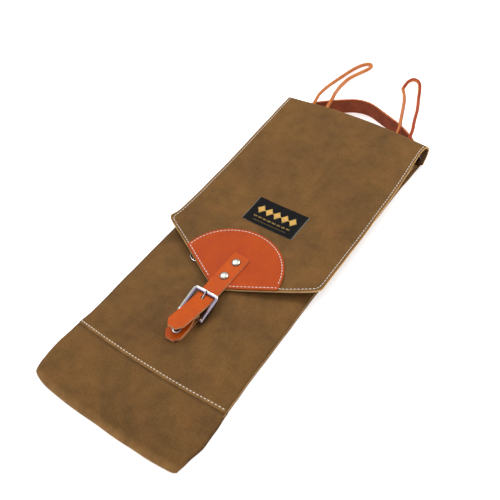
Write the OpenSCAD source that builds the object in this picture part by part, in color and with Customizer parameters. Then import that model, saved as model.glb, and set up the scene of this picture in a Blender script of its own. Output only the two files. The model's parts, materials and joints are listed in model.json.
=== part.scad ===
// Flat waxed-canvas tool case with a fold-over flap, a buckled leather strap, a leather carry
// handle and two leather hanging laces. It lies on its back: X is its width, +Y runs from the
// bottom end to the handle and +Z points out of its front. Millimetres.

/* [Case] */
// Width of the case
case_w = 183; // [178:1:187]
// Length from the bottom corners to the back of the top fold
case_l = 455; // [450:1:460]
// Thickness of the waxed canvas
canvas_t = 1.4; // [1.2:0.1:1.5]
// Height of the side seams over the lower half
side_low = 5; // [4.5:0.5:6]
// Height of the side seams at the mouth
side_high = 14; // [12:0.5:15]
// Height of the middle of the front over the lower half
front_z = 11; // [10.6:0.1:11.2]
// Height of the middle of the front at the mouth
mouth_z = 18; // [16:0.5:19]
// Distance from the mouth to the back of the top fold
mouth_gap = 15; // [13:1:18]
// Width of the turned hem inside the mouth
hem_w = 12; // [8:1:16]

/* [Boot] */
// Length of the boot from the bottom corners to its seam
boot_l = 62; // [55:1:70]
// How far the boot seam rises towards the sides
seam_rise = 5; // [3:1:7]
// How far the bottom edge bows out in the middle
bottom_bow = 6; // [4:1:8]
// How much narrower each side is at the bottom end
bottom_taper = 3; // [2:0.5:4]

/* [Flap] */
// Width of the flap
flap_w = 191; // [189:1:194]
// Thickness of the flap's inner layer
lining_t = 1; // [0.8:0.1:1.1]
// Height of the middle of the flap at its point
flap_mid_z = 15.6; // [15.5:0.1:15.8]
// Height of the flap's side corners
flap_side_z = 22; // [20:0.5:24]
// Height of the top fold
fold_z = 29; // [28.5:0.1:29.5]
// Radius of the rolled fold
fold_r = 3.5; // [3.3:0.1:3.6]
// Place of the flap's point along the case
flap_point_y = 170; // [168:1:172]
// Place of the flap's side corners along the case
flap_corner_y = 218; // [214:1:222]

/* [Patch and label] */
// Width of the leather patch
patch_w = 119; // [112:1:122]
// Place of the top of the patch along the case
patch_top_y = 254; // [250:1:257]
// Thickness of the patch leather
patch_t = 1.8; // [1.6:0.1:1.8]
// Width of the woven label
label_w = 63; // [56:1:68]
// Length of the woven label
label_l = 35; // [30:1:38]
// Place of the label's lower edge along the case
label_y = 264; // [262:1:270]
// Thickness of the label
label_t = 0.6; // [0.4:0.1:0.8]

/* [Closure strap] */
// Width of the closure strap and of the buckle's leather tab
strap_w = 19; // [18:0.5:20]
// Thickness of the strap leather
strap_t = 2.4; // [2.2:0.1:2.4]
// Length of the pointed tips
tip_l = 6.3; // [5:0.1:8]
// Place of the lower strap rivet along the case
low_rivet_y = 186; // [185:0.5:190]
// Place of the upper strap rivet along the case
high_rivet_y = 206.5; // [202:0.5:208]

/* [Buckle] */
// Outer width of the buckle
buckle_w = 28.8; // [28:0.2:30]
// Width of the buckle's window
window_w = 20.4; // [20.4:0.1:21]
// Length from the heel bar to the far edge of the buckle
buckle_l = 30; // [29.5:0.1:30.5]
// Thickness of the buckle
buckle_t = 3; // [2.8:0.1:3.1]
// Width of the buckle's far bar
far_bar_w = 4; // [3.5:0.1:4]
// Radius of the heel bar
bar_r = 1.8; // [1.6:0.1:1.8]
// Tilt of the buckle off the front panel, in degrees
buckle_tilt = 12; // [12:0.5:13]
// Radius of the prong
prong_r = 1.1; // [1:0.1:1.2]
// Thickness of the leather tab that holds the buckle
chape_t = 2.2; // [2:0.1:2.2]
// Width of the slot that the prong turns in
slot_w = 5.2; // [4.8:0.1:6]

/* [Rivets and eyelets] */
// Diameter of the rivet caps
cap_d = 9.5; // [8:0.5:10]
// Diameter of the rivet posts
post_d = 3; // [2.5:0.1:3.2]
// Diameter of the eyelet flanges
eyelet_d = 8.4; // [8:0.2:8.6]

/* [Ring] */
// Outside width of the small D-ring
ring_w = 17.4; // [16:0.2:18]
// Radius of the D-ring's wire
ring_wire_r = 0.8; // [0.7:0.1:0.9]

/* [Handle] */
// Width of the handle strap, which stands on its edge
handle_w = 20; // [18:0.5:20]
// Thickness of the handle leather
handle_t = 2.5; // [2.2:0.1:2.6]

/* [Laces] */
// Width of the leather laces
lace_d = 4; // [3.6:0.1:4]

/* [Hidden] */

canvas_colour = [0.46, 0.34, 0.21];
edge_colour = [0.66, 0.49, 0.31];
patch_colour = [0.75, 0.33, 0.14];
strap_colour = [0.81, 0.35, 0.14];
handle_colour = [0.5, 0.27, 0.17];
lace_colour = [0.78, 0.5, 0.33];
label_colour = [0.06, 0.07, 0.1];
nickel_colour = [0.8, 0.8, 0.8];

// Clearances between layers, between pieces that turn, and where the flap passes the spine
touch = 0.1;
running = 0.1;
pass = 0.3;

half_w = case_w / 2;
flap_half_w = flap_w / 2;
flap_t = canvas_t + touch + lining_t;
mouth_y = case_l - mouth_gap;
seam_gap = 0.1;

// The bottom end: how long its taper and its dome are, how far its corners round off, and the
// height of the closed edge
taper_l = 35;
dome_l = 40;
corner_cut = 5;
closed_z = 2.8;

// How softly the flap's point is rounded, and how far its side corners round off
point_soft = 5;
flap_corner_cut = 4;

// The handle's farthest point and the bowed bottom edge are equally far from the origin
handle_reach = 505;
mid_y = (handle_reach - bottom_bow) / 2;

// The top fold is a roll about the flap's hinge axis
hinge_y = case_l - fold_r;
hinge_z = fold_z - fold_r;
spine_top = hinge_z - fold_r - pass;

// The buckle turns about its heel bar
heel_y = 130.5;
heel_z = 16;
prong_lift = asin((buckle_t / 2 + prong_r + running) / (buckle_l - far_bar_w));
prong_tilt = buckle_tilt + prong_lift;
prong_l = buckle_l - 0.5;
prong_room = 0.4;
eye_w = 4.2;
eye_r = 3.3;
slot_l = 9;

// Layers of leather at the buckle tab and on the flap
chape_low_z = front_z + touch + chape_t / 2;
chape_high_z = chape_low_z + chape_t + 0.05;
chape_tip_y = 98;
chape_rivet_y = 109.7;
patch_z = flap_mid_z + touch + patch_t;
strap_z = patch_z + touch + strap_t / 2;
strap_rivets_y = [low_rivet_y, high_rivet_y];
cap_t = 1.6;
back_cap_t = 1;
post_room = 0.4;

// Centre line of the closure strap, from its upper end to its tip, as [along the case, height]
strap_route = [
    [216.5, strap_z], [195, strap_z], [178, strap_z], [170, strap_z], [163, strap_z - 0.3],
    [156, strap_z - 0.6], [148, 19.4], [140, 21.2], [131, 23], [118, 25], [104.5, 26.6]
];
strap_tip_y = 104.5;

// The small ring lies flat on the front, its straight side held by a tape tab
ring_x = -42.5;
ring_bar_y = 200.5;
ring_z = 12.4;
ring_arc_y = 197;
tab_t = 0.4;
tab_w = 12;
tab_end_y = 215;

// Centre line of the handle strap in plan; its ends lie flat on the spine
handle_z = 0.5;
tab_y = case_l + handle_t / 2 + 0.05;
handle_route = [
    [-91, tab_y], [-85, tab_y], [-80.5, tab_y], [-77.5, tab_y + 0.8], [-74.5, 461.5],
    [-71, 467], [-64, 474.5], [-51, 485], [-32, 498], [-22, 502.4],
    [-12, handle_reach - handle_t / 2], [-2, 502.4], [18, 495], [32, 489.5], [44, 484.3],
    [58, 476], [68, 468.5], [74, 461.5], [77.5, tab_y + 0.8], [80.5, tab_y], [85, tab_y],
    [91, tab_y]
];
handle_split_y = 468;
handle_rivets_x = [-86, 86];
handle_mid_z = handle_z + handle_w / 2;

// The laces leave through eyelets in the spine, cross over the handle and lie on the ground
eyelet_z = 17;
eyelets_x = [-66, -49, 49, 66];
eyelet_t = 0.7;
lace_r = lace_d / 2;
lace_start_y = case_l - canvas_t + 0.1;
lace_left_route = [
    [-66, lace_start_y, 17], [-66, 457, 17], [-66, 461, 18.8], [-66.5, 468, 22.8], [-68, 476, 23.4],
    [-70, 486, 22], [-72.5, 502, 16.5], [-75, 518, 10], [-76, 534, 5], [-76, 548, 2.6],
    [-75, 562, 2.1], [-72.5, 577, 2.1], [-68.5, 590, 2.1], [-63, 598, 2.1], [-57, 599.5, 2.1],
    [-52.5, 595.5, 2.1], [-52.5, 588, 2.1], [-56, 578, 2.1], [-61, 568, 2.1], [-64, 557, 2.1],
    [-64.5, 545, 3.4], [-62, 530, 8], [-58, 514, 14], [-54, 499, 20.5], [-51.5, 488, 23.6],
    [-50, 480, 23.4], [-49, 470, 21.2], [-49, 461, 18.2], [-49, 457, 17],
    [-49, lace_start_y, 17]
];
lace_right_route = [
    [49, lace_start_y, 17], [49, 457, 17], [49, 461, 18.2], [48.5, 470, 21.4], [46.5, 479, 23.6],
    [43.5, 489, 23], [39, 502, 19.5], [32.5, 518, 14], [25, 534, 8.5], [17.5, 550, 4],
    [10.5, 562, 2.2], [6, 570, 2.1], [4.5, 579, 2.1], [3.5, 588, 2.1], [7, 596, 2.1],
    [13, 595, 2.1], [18.5, 588, 2.1], [24.5, 576, 2.3], [31.5, 561, 4], [39, 545, 8],
    [46.5, 528, 12.5], [53.5, 509, 17.5], [59, 492, 21.8], [63, 480, 23.6], [65.5, 468, 22.4],
    [66, 461, 18.8], [66, 457, 17], [66, lace_start_y, 17]
];

// --- Curves ---------------------------------------------------------------------------------

// A value that eases from 0 to 1
function ease(t) = let (c = min(1, max(0, t))) c * c * (3 - 2 * c);

// A point on the curve through four points
function curve_point(a, b, c, d, t) =
    0.5 * (2 * b + (c - a) * t + (2 * a - 5 * b + 4 * c - d) * t * t
        + (3 * b - a - 3 * c + d) * t * t * t);

// A smooth curve through a list of points, with steps points for each span
function curve(p, steps) = let (n = len(p) - 1) concat(
    [for (i = [0:n - 1]) for (k = [0:steps - 1])
        curve_point(p[max(0, i - 1)], p[i], p[i + 1], p[min(n, i + 2)], k / steps)],
    [p[n]]);

function turned(d) = [-d[1], d[0]] / norm(d);
function side_way(p, i) = turned(p[min(len(p) - 1, i + 1)] - p[max(0, i - 1)]);

// Outline of a strip of thickness t along a flat curve
function strip(p, t) = concat(
    [for (i = [0:len(p) - 1]) p[i] + side_way(p, i) * t / 2],
    [for (i = [len(p) - 1:-1:0]) p[i] - side_way(p, i) * t / 2]);

// --- Shape of the case and the flap ---------------------------------------------------------

function bottom_y(x) = let (e = abs(x) / half_w)
    bottom_bow * (pow(e, 3) - 1) + corner_cut * pow(e, 20);
function seam_y(x) = boot_l + seam_rise * pow(abs(x) / half_w, 2.5);
function taper(v) = half_w - bottom_taper * pow(max(0, 1 - v * boot_l / taper_l), 2);
function side_z(y) = side_low + (side_high - side_low) * ease((y - 150) / 290);
function mid_z(y) = front_z + (mouth_z - front_z) * ease((y - 260) / 180);
function front_top(x, y) = let (e = min(1, abs(x) / half_w))
    side_z(y) + (mid_z(y) - side_z(y)) * pow(1 - pow(e, 4), 0.6);

// Height of the boot's front, which comes down to the closed bottom edge
function boot_top(x, y) = let (d = max(0, y - bottom_y(x)))
    closed_z + (front_top(x, y) - closed_z) * sqrt(1 - pow(1 - min(1, d / dome_l), 2.5));

function flap_edge_y(x) = flap_point_y
    + (flap_corner_y - flap_point_y) / (flap_half_w - point_soft)
        * (sqrt(x * x + point_soft * point_soft) - point_soft)
    + flap_corner_cut * pow(abs(x) / flap_half_w, 30);
function flap_top(x, y) = let (
        rise = pow((y - flap_point_y) / (hinge_y - flap_point_y), 3),
        out = pow(min(1, abs(x) / flap_half_w), 2.2),
        low = flap_mid_z + (flap_side_z - flap_mid_z) * out)
    low + (fold_z - low) * max(0, rise);

// The patch is the part of a disc above the flap's lower edges
patch_half_w = patch_w / 2;
patch_low_y = flap_edge_y(patch_half_w) + 1;
patch_drop = patch_top_y - patch_low_y - 2;
patch_r = (patch_half_w * patch_half_w + patch_drop * patch_drop) / (2 * patch_drop);
function patch_top_edge(x) = patch_top_y - patch_r + sqrt(patch_r * patch_r - x * x);

// --- Building blocks ------------------------------------------------------------------------

// A sheet between two surfaces; each is a function of u from -1 to 1 and v from 0 to 1
module slab(top, under, nu, nv) {
    k = (nu + 1) * (nv + 1);
    function at(i, j) = j * (nu + 1) + i;
    points = concat(
        [for (j = [0:nv]) for (i = [0:nu]) top(2 * i / nu - 1, j / nv)],
        [for (j = [0:nv]) for (i = [0:nu]) under(2 * i / nu - 1, j / nv)]);
    faces = concat(
        [for (j = [0:nv - 1]) for (i = [0:nu - 1]) each [
            [at(i, j), at(i, j + 1), at(i + 1, j + 1)],
            [at(i, j), at(i + 1, j + 1), at(i + 1, j)],
            [k + at(i, j), k + at(i + 1, j + 1), k + at(i, j + 1)],
            [k + at(i, j), k + at(i + 1, j), k + at(i + 1, j + 1)]]],
        [for (i = [0:nu - 1]) each [
            [at(i, 0), at(i + 1, 0), k + at(i + 1, 0)],
            [at(i, 0), k + at(i + 1, 0), k + at(i, 0)],
            [at(i, nv), k + at(i + 1, nv), at(i + 1, nv)],
            [at(i, nv), k + at(i, nv), k + at(i + 1, nv)]]],
        [for (j = [0:nv - 1]) each [
            [at(0, j), k + at(0, j + 1), at(0, j + 1)],
            [at(0, j), k + at(0, j), k + at(0, j + 1)],
            [at(nu, j), at(nu, j + 1), k + at(nu, j + 1)],
            [at(nu, j), k + at(nu, j + 1), k + at(nu, j)]]]);
    polyhedron(points, faces, convexity = 6);
}

// A layer of thickness t, its upper face drop below the flap's outer surface
module flap_layer(half, low, high, drop, t, nu, nv) {
    function at(u, v, d) = let (x = u * half, y = low(x) + (high(x) - low(x)) * v)
        [x, y, flap_top(x, y) - d];
    slab(function (u, v) at(u, v, drop), function (u, v) at(u, v, drop + t), nu, nv);
}

// A layer of thickness t, its upper face drop below the front panel's outer surface
module front_layer(half, low, high, drop, t, nu, nv) {
    function at(u, v, d) = let (x = u * half, y = low(x) + (high - low(x)) * v)
        [x, y, front_top(x, y) - d];
    slab(function (u, v) at(u, v, drop), function (u, v) at(u, v, drop + t), nu, nv);
}

// Extrudes an outline of [along the case, height] across the case
module across(w) {
    translate([-w / 2, 0, 0]) rotate([90, 0, 90]) linear_extrude(w) children();
}

// A strap with a pointed tip, from its profile and its plan
module pointed_strap(profile, w, tip_y, end_y) {
    intersection() {
        across(w) polygon(profile);
        linear_extrude(60) polygon([
            [-w / 2, tip_y + tip_l], [0, tip_y], [w / 2, tip_y + tip_l],
            [w / 2, end_y], [-w / 2, end_y]]);
    }
}

// A domed rivet cap with its flat side on the XY plane
module cap(t) {
    r = cap_d / 2;
    rotate_extrude($fn = 48) polygon([
        [0, 0], [r, 0], [r, t * 0.3], [r * 0.88, t * 0.65], [r * 0.6, t * 0.9], [0, t]]);
}

module post(l) {
    cylinder(h = l, d = post_d, $fn = 24);
}

// A hole for a rivet post, right through a layer
module post_hole() {
    cylinder(h = 100, d = post_d + post_room, center = true, $fn = 24);
}

// A round lace swept along a curve
module lace(route) {
    sides = 8;
    p = curve(route, 1);
    n = len(p);
    function way(i) = let (d = p[min(n - 1, i + 1)] - p[max(0, i - 1)]) d / norm(d);
    function flat_way(i) = let (s = cross(way(i), [0, 0, 1])) s / norm(s);
    function ring(i) = let (a = flat_way(i), b = cross(a, way(i)))
        [for (k = [0:sides - 1]) p[i] + lace_r * (a * cos(360 * k / sides)
            + b * sin(360 * k / sides))];
    points = [for (i = [0:n - 1]) each ring(i)];
    walls = [for (i = [0:n - 2]) for (k = [0:sides - 1]) let (j = (k + 1) % sides) each [
        [i * sides + k, (i + 1) * sides + j, (i + 1) * sides + k],
        [i * sides + k, i * sides + j, (i + 1) * sides + j]]];
    ends = [[for (k = [sides - 1:-1:0]) k], [for (k = [0:sides - 1]) (n - 1) * sides + k]];
    polyhedron(points, concat(walls, ends), convexity = 8);
}

// Everything is drawn with the bottom corners at y = 0 and then moved onto the origin
module place() {
    translate([0, -mid_y, 0]) children();
}

// --- Canvas case ----------------------------------------------------------------------------

module back_panel() {
    n = 24;
    color(canvas_colour) place() linear_extrude(canvas_t) polygon(concat(
        [for (i = [0:n]) let (x = half_w * (2 * i / n - 1)) [x, seam_y(x) + seam_gap]],
        [[half_w, case_l], [-half_w, case_l]]));
}

module front_panel() {
    color(canvas_colour) place() difference() {
        front_layer(half_w, function (x) seam_y(x) + seam_gap, mouth_y, 0, canvas_t, 28, 24);
        translate([0, chape_rivet_y, 0]) post_hole();
    }
}

module boot_panel() {
    // The hollow stands one canvas thickness inside the outer surface and is open at the seam
    end_wall = 0.04;
    function outside(u, v) = let (x = u * taper(v))
        [x, bottom_y(x) + (seam_y(x) - bottom_y(x)) * v];
    function inside(u, v) = let (x = u * (taper(v) - canvas_t), w = end_wall + v)
        [x, bottom_y(x) + (seam_y(x) - bottom_y(x)) * w];
    color(canvas_colour) place() difference() {
        slab(function (u, v) let (p = outside(u, v)) [p[0], p[1], boot_top(p[0], p[1])],
            function (u, v) let (p = outside(u, v)) [p[0], p[1], 0], 28, 14);
        slab(function (u, v) let (p = inside(u, v))
                [p[0], p[1], max(canvas_t + touch, boot_top(p[0], p[1]) - canvas_t)],
            function (u, v) let (p = inside(u, v)) [p[0], p[1], canvas_t], 28, 14);
    }
}

// One side wall, which is low at the bottom and deepens towards the mouth
module gusset(side) {
    n = 20;
    low_y = seam_y(half_w) + seam_gap;
    color(canvas_colour) place() translate([side * (half_w - canvas_t / 2), 0, 0])
        across(canvas_t) polygon(concat(
            [[low_y, canvas_t], [mouth_y, canvas_t]],
            [for (i = [n:-1:0]) let (y = low_y + (mouth_y - low_y) * i / n)
                [y, side_z(y) - canvas_t]]));
}

module left_gusset() {
    gusset(-1);
}

module right_gusset() {
    gusset(1);
}

// The turned hem ends two columns of the front panel's grid inside its edges
module mouth_hem() {
    columns = 28;
    color(canvas_colour) place() front_layer(half_w * (columns - 2) / columns,
        function (x) mouth_y - hem_w, mouth_y - 0.5, canvas_t + touch, canvas_t * 0.8,
        columns - 2, 4);
}

// A wall across the top end, pierced for the handle rivets and the laces
module spine_wall(y, t, eyelet_hole) {
    difference() {
        translate([-half_w, y - t, canvas_t]) cube([case_w, t, spine_top - canvas_t]);
        for (x = handle_rivets_x) translate([x, y, handle_mid_z]) rotate([90, 0, 0]) post_hole();
        if (eyelet_hole > 0) for (x = eyelets_x) translate([x, y + 5, eyelet_z])
            rotate([90, 0, 0]) cylinder(h = 20, d = eyelet_hole, $fn = 32);
    }
}

module top_spine() {
    color(canvas_colour) place() spine_wall(case_l, canvas_t, lace_d + 1.6);
}

module spine_lining() {
    color(canvas_colour) place() spine_wall(case_l - canvas_t, lining_t, 0);
}

// --- Buckle tab -----------------------------------------------------------------------------

// A leather tab folded round the heel bar, with a slot for the prong
module buckle_chape() {
    sleeve_r = bar_r + running + chape_t;
    lower = curve([[104, chape_low_z], [124, chape_low_z], [127.5, chape_low_z + 0.25],
        [heel_y, heel_z - bar_r - running - chape_t / 2]], 3);
    upper = curve([[chape_tip_y, chape_high_z - 0.2], [110, chape_high_z],
        [116, chape_high_z], [121, chape_high_z + 1], [126, heel_z + 2.1],
        [heel_y, heel_z + bar_r + running + chape_t / 2]], 3);
    color(strap_colour) place() difference() {
        union() {
            pointed_strap(strip(lower, chape_t), strap_w, chape_tip_y, heel_y);
            pointed_strap(strip(upper, chape_t), strap_w, chape_tip_y, heel_y);
            translate([0, heel_y, heel_z]) intersection() {
                rotate([0, 90, 0]) cylinder(h = strap_w, r = sleeve_r, center = true, $fn = 48);
                translate([-strap_w, 0, -10]) cube([2 * strap_w, 20, 20]);
            }
        }
        translate([0, heel_y, heel_z]) rotate([0, 90, 0])
            cylinder(h = 2 * strap_w, r = bar_r + running, center = true, $fn = 48);
        translate([-slot_w / 2, heel_y - slot_l, 0]) cube([slot_w, 2 * slot_l, 40]);
        translate([0, chape_rivet_y, 0]) post_hole();
    }
}

module chape_rivet() {
    top = chape_high_z + chape_t / 2;
    back = front_z - canvas_t;
    color(nickel_colour) place() translate([0, chape_rivet_y, 0]) {
        translate([0, 0, top]) cap(cap_t);
        translate([0, 0, back]) post(top - back);
    }
}

module chape_rivet_back() {
    color(nickel_colour) place() translate([0, chape_rivet_y, front_z - canvas_t])
        mirror([0, 0, 1]) cap(back_cap_t);
}

// A tape tab folded round the ring's straight side and sewn to the front
module d_ring_tab() {
    sleeve_r = ring_wire_r + running + tab_t;
    low_z = front_z + 0.15 + tab_t / 2;
    lower = curve([[tab_end_y, low_z], [205, low_z], [ring_bar_y,
        ring_z - ring_wire_r - running - tab_t / 2]], 4);
    upper = curve([[tab_end_y, low_z + tab_t], [207, low_z + tab_t], [204, 13],
        [ring_bar_y, ring_z + ring_wire_r + running + tab_t / 2]], 4);
    color(canvas_colour) place() translate([ring_x, 0, 0]) {
        across(tab_w) polygon(strip(lower, tab_t));
        across(tab_w) polygon(strip(upper, tab_t));
        translate([0, ring_bar_y, ring_z]) intersection() {
            rotate([0, 90, 0]) difference() {
                cylinder(h = tab_w, r = sleeve_r, center = true, $fn = 32);
                cylinder(h = 2 * tab_w, r = sleeve_r - tab_t, center = true, $fn = 32);
            }
            translate([-tab_w, -10, -10]) cube([2 * tab_w, 10, 20]);
        }
    }
}

module d_ring() {
    r = ring_w / 2 - ring_wire_r;
    color(nickel_colour) place() translate([ring_x, 0, ring_z]) {
        translate([0, ring_bar_y, 0]) rotate([0, 90, 0])
            cylinder(h = 2 * r, r = ring_wire_r, center = true, $fn = 24);
        for (s = [-1, 1]) translate([s * r, ring_bar_y, 0]) {
            rotate([90, 0, 0]) cylinder(h = ring_bar_y - ring_arc_y, r = ring_wire_r, $fn = 24);
            sphere(r = ring_wire_r, $fn = 24);
        }
        translate([0, ring_arc_y, 0]) rotate([0, 0, 180])
            rotate_extrude(angle = 180, $fn = 64)
                translate([r, 0]) circle(r = ring_wire_r, $fn = 24);
    }
}

// --- Handle ---------------------------------------------------------------------------------

// The part of the handle strap between two places along the case
module handle_part(from_y, to_y) {
    color(handle_colour) place() difference() {
        translate([0, 0, handle_z]) linear_extrude(handle_w) intersection() {
            polygon(strip(curve(handle_route, 3), handle_t));
            translate([-150, from_y]) square([300, to_y - from_y]);
        }
        for (x = handle_rivets_x) translate([x, case_l, handle_mid_z])
            rotate([90, 0, 0]) post_hole();
    }
}

module handle_ends() {
    handle_part(case_l, handle_split_y - touch);
}

module handle_grip() {
    handle_part(handle_split_y + touch, handle_reach + 1);
}

module handle_rivets() {
    outer = case_l + handle_t + 0.1;
    inner = case_l - canvas_t - lining_t;
    color(nickel_colour) place() for (x = handle_rivets_x) translate([x, 0, handle_mid_z]) {
        translate([0, outer, 0]) rotate([-90, 0, 0]) cap(cap_t);
        translate([0, outer, 0]) rotate([90, 0, 0]) post(outer - inner);
    }
}

module handle_rivet_backs() {
    color(nickel_colour) place() for (x = handle_rivets_x)
        translate([x, case_l - canvas_t - lining_t, handle_mid_z]) rotate([90, 0, 0])
            cap(back_cap_t);
}

// --- Laces ----------------------------------------------------------------------------------

module lace_eyelets() {
    color(nickel_colour) place() for (x = eyelets_x) translate([x, case_l, eyelet_z])
        rotate([90, 0, 0]) difference() {
            union() {
                translate([0, 0, -eyelet_t]) cylinder(h = eyelet_t, d = eyelet_d, $fn = 32);
                cylinder(h = canvas_t, d = lace_d + 1.4, $fn = 32);
            }
            translate([0, 0, -5]) cylinder(h = 20, d = lace_d + 0.6, $fn = 32);
        }
}

module lace_left() {
    color(lace_colour) place() lace(lace_left_route);
}

module lace_right() {
    color(lace_colour) place() lace(lace_right_route);
}

// --- Flap -----------------------------------------------------------------------------------

// Half of a rolled layer about the hinge axis, open towards the flap
module roll(outer_r, t) {
    translate([0, hinge_y, hinge_z]) rotate([0, 90, 0]) difference() {
        cylinder(h = flap_w, r = outer_r, center = true, $fn = 48);
        cylinder(h = 2 * flap_w, r = outer_r - t, center = true, $fn = 48);
        translate([-50, -100, -flap_w]) cube([100, 100, 2 * flap_w]);
    }
}

module strap_post_holes() {
    for (y = strap_rivets_y) translate([0, y, 0]) post_hole();
}

module flap_canvas() {
    color(canvas_colour) place() difference() {
        union() {
            roll(fold_r, canvas_t);
            flap_layer(flap_half_w, function (x) flap_edge_y(x), function (x) hinge_y,
                0, canvas_t, 28, 20);
        }
        strap_post_holes();
    }
}

module flap_lining() {
    color(edge_colour) place() difference() {
        union() {
            roll(fold_r - canvas_t - touch, lining_t);
            flap_layer(flap_half_w, function (x) flap_edge_y(x), function (x) hinge_y,
                canvas_t + touch, lining_t, 28, 20);
        }
        strap_post_holes();
    }
}

module flap_patch() {
    color(patch_colour) place() difference() {
        flap_layer(patch_half_w, function (x) flap_edge_y(x) + 1,
            function (x) patch_top_edge(x), -touch - patch_t, patch_t, 32, 10);
        strap_post_holes();
    }
}

module woven_label() {
    color(label_colour) place() flap_layer(label_w / 2, function (x) label_y,
        function (x) label_y + label_l, -touch - label_t, label_t, 8, 4);
}

module closure_strap() {
    color(strap_colour) place() difference() {
        pointed_strap(strip(curve(strap_route, 3), strap_t), strap_w, strap_tip_y,
            strap_route[0][0]);
        strap_post_holes();
        translate([0, heel_y, heel_z]) rotate([prong_tilt - 90, 0, 0])
            cylinder(h = 2 * prong_l, r = prong_r + prong_room, $fn = 24);
    }
}

module strap_rivets() {
    top = strap_z + strap_t / 2;
    back = flap_mid_z - flap_t;
    color(nickel_colour) place() for (y = strap_rivets_y) translate([0, y, 0]) {
        translate([0, 0, top]) cap(cap_t);
        translate([0, 0, back]) post(top - back);
    }
}

module strap_rivet_backs() {
    color(nickel_colour) place() for (y = strap_rivets_y)
        translate([0, y, flap_mid_z - flap_t]) mirror([0, 0, 1]) cap(back_cap_t);
}

// --- Buckle ---------------------------------------------------------------------------------

// A rectangle with two round far corners
module far_rounded(w, low, high, r) {
    translate([-w / 2, low]) square([w, high - low - r]);
    translate([-w / 2 + r, low]) square([w - 2 * r, high - low]);
    for (s = [-1, 1]) translate([s * (w / 2 - r), high - r]) circle(r = r, $fn = 32);
}

module buckle_frame() {
    heel_end = -2.2;
    color(nickel_colour) place() translate([0, heel_y, heel_z]) rotate([buckle_tilt, 0, 0]) {
        translate([0, 0, -buckle_t / 2]) linear_extrude(buckle_t) difference() {
            far_rounded(buckle_w, heel_end, buckle_l, 3.5);
            far_rounded(window_w, heel_end - 1, buckle_l - far_bar_w, 1);
        }
        rotate([0, 90, 0]) cylinder(h = window_w + 2, r = bar_r, center = true, $fn = 48);
    }
}

// The prong's eye turns on the heel bar and its point rests on the far bar
module buckle_prong() {
    color(nickel_colour) place() translate([0, heel_y, heel_z]) difference() {
        union() {
            rotate([0, 90, 0]) cylinder(h = eye_w, r = eye_r, center = true, $fn = 48);
            rotate([prong_tilt - 90, 0, 0]) cylinder(h = prong_l, r = prong_r, $fn = 24);
        }
        rotate([0, 90, 0]) cylinder(h = 10, r = bar_r + running, center = true, $fn = 48);
    }
}

back_panel();
front_panel();
boot_panel();
left_gusset();
right_gusset();
mouth_hem();
top_spine();
spine_lining();
buckle_chape();
chape_rivet();
chape_rivet_back();
d_ring_tab();
handle_ends();
handle_rivets();
handle_rivet_backs();
lace_eyelets();
lace_left();
lace_right();
flap_canvas();
flap_lining();
flap_patch();
woven_label();
closure_strap();
strap_rivets();
strap_rivet_backs();
buckle_frame();
buckle_prong();
d_ring();
handle_grip();
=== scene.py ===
"""Looks of a flat waxed-canvas tool case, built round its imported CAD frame.

Shapes are worked out in millimetres with y counted from the case's bottom corners, as a pattern
cutter would, and place() puts them into the frame in metres.
"""

import json
from math import asin, atan, copysign, cos, exp, pi, radians, sin, sqrt

import bpy
from mathutils import Matrix, Vector, noise


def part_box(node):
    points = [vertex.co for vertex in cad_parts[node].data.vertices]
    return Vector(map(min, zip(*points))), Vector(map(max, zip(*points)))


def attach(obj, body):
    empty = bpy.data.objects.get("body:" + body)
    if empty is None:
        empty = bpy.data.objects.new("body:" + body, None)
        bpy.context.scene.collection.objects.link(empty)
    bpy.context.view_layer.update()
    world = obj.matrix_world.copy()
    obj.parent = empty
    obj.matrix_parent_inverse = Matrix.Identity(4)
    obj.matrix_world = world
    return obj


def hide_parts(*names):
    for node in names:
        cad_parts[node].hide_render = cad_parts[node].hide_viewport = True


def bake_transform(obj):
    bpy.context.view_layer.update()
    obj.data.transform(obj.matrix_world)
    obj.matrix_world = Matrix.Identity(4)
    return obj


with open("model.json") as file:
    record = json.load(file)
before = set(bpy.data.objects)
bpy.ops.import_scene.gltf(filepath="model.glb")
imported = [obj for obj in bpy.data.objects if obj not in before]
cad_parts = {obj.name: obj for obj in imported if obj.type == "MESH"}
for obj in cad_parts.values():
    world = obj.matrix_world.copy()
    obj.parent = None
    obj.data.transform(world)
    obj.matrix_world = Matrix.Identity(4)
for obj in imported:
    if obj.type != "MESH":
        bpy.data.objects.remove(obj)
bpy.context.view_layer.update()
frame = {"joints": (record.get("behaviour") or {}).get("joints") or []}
MM = 0.001


def box_mm(node):
    low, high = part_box(node)
    return low / MM, high / MM


# --- Sizes, from the frame ---

HALF_W = box_mm("back_panel")[1].x
BOTTOM_BOW = 6.0
MID_Y = -box_mm("boot_panel")[0].y - BOTTOM_BOW
CASE_L = box_mm("back_panel")[1].y + MID_Y
CANVAS_T = box_mm("back_panel")[1].z
MOUTH_Y = box_mm("front_panel")[1].y + MID_Y
MOUTH_Z = box_mm("front_panel")[1].z
SIDE_LOW, SIDE_HIGH = 5.0, box_mm("left_gusset")[1].z + CANVAS_T
FRONT_Z = box_mm("boot_panel")[1].z
BOOT_L, SEAM_RISE = 62.0, 5.0
SOFT_BOW, CORNER_CUT, TAPER, TAPER_L, DOME_L, CLOSED_Z = 3.6, 5.0, 3.0, 35.0, 40.0, 2.8
HEM_W = 12.0
MOUTH_DIP = 6.0
FULL_DEPTH_Y = 440.0  # the case gets deeper up to here

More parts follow.
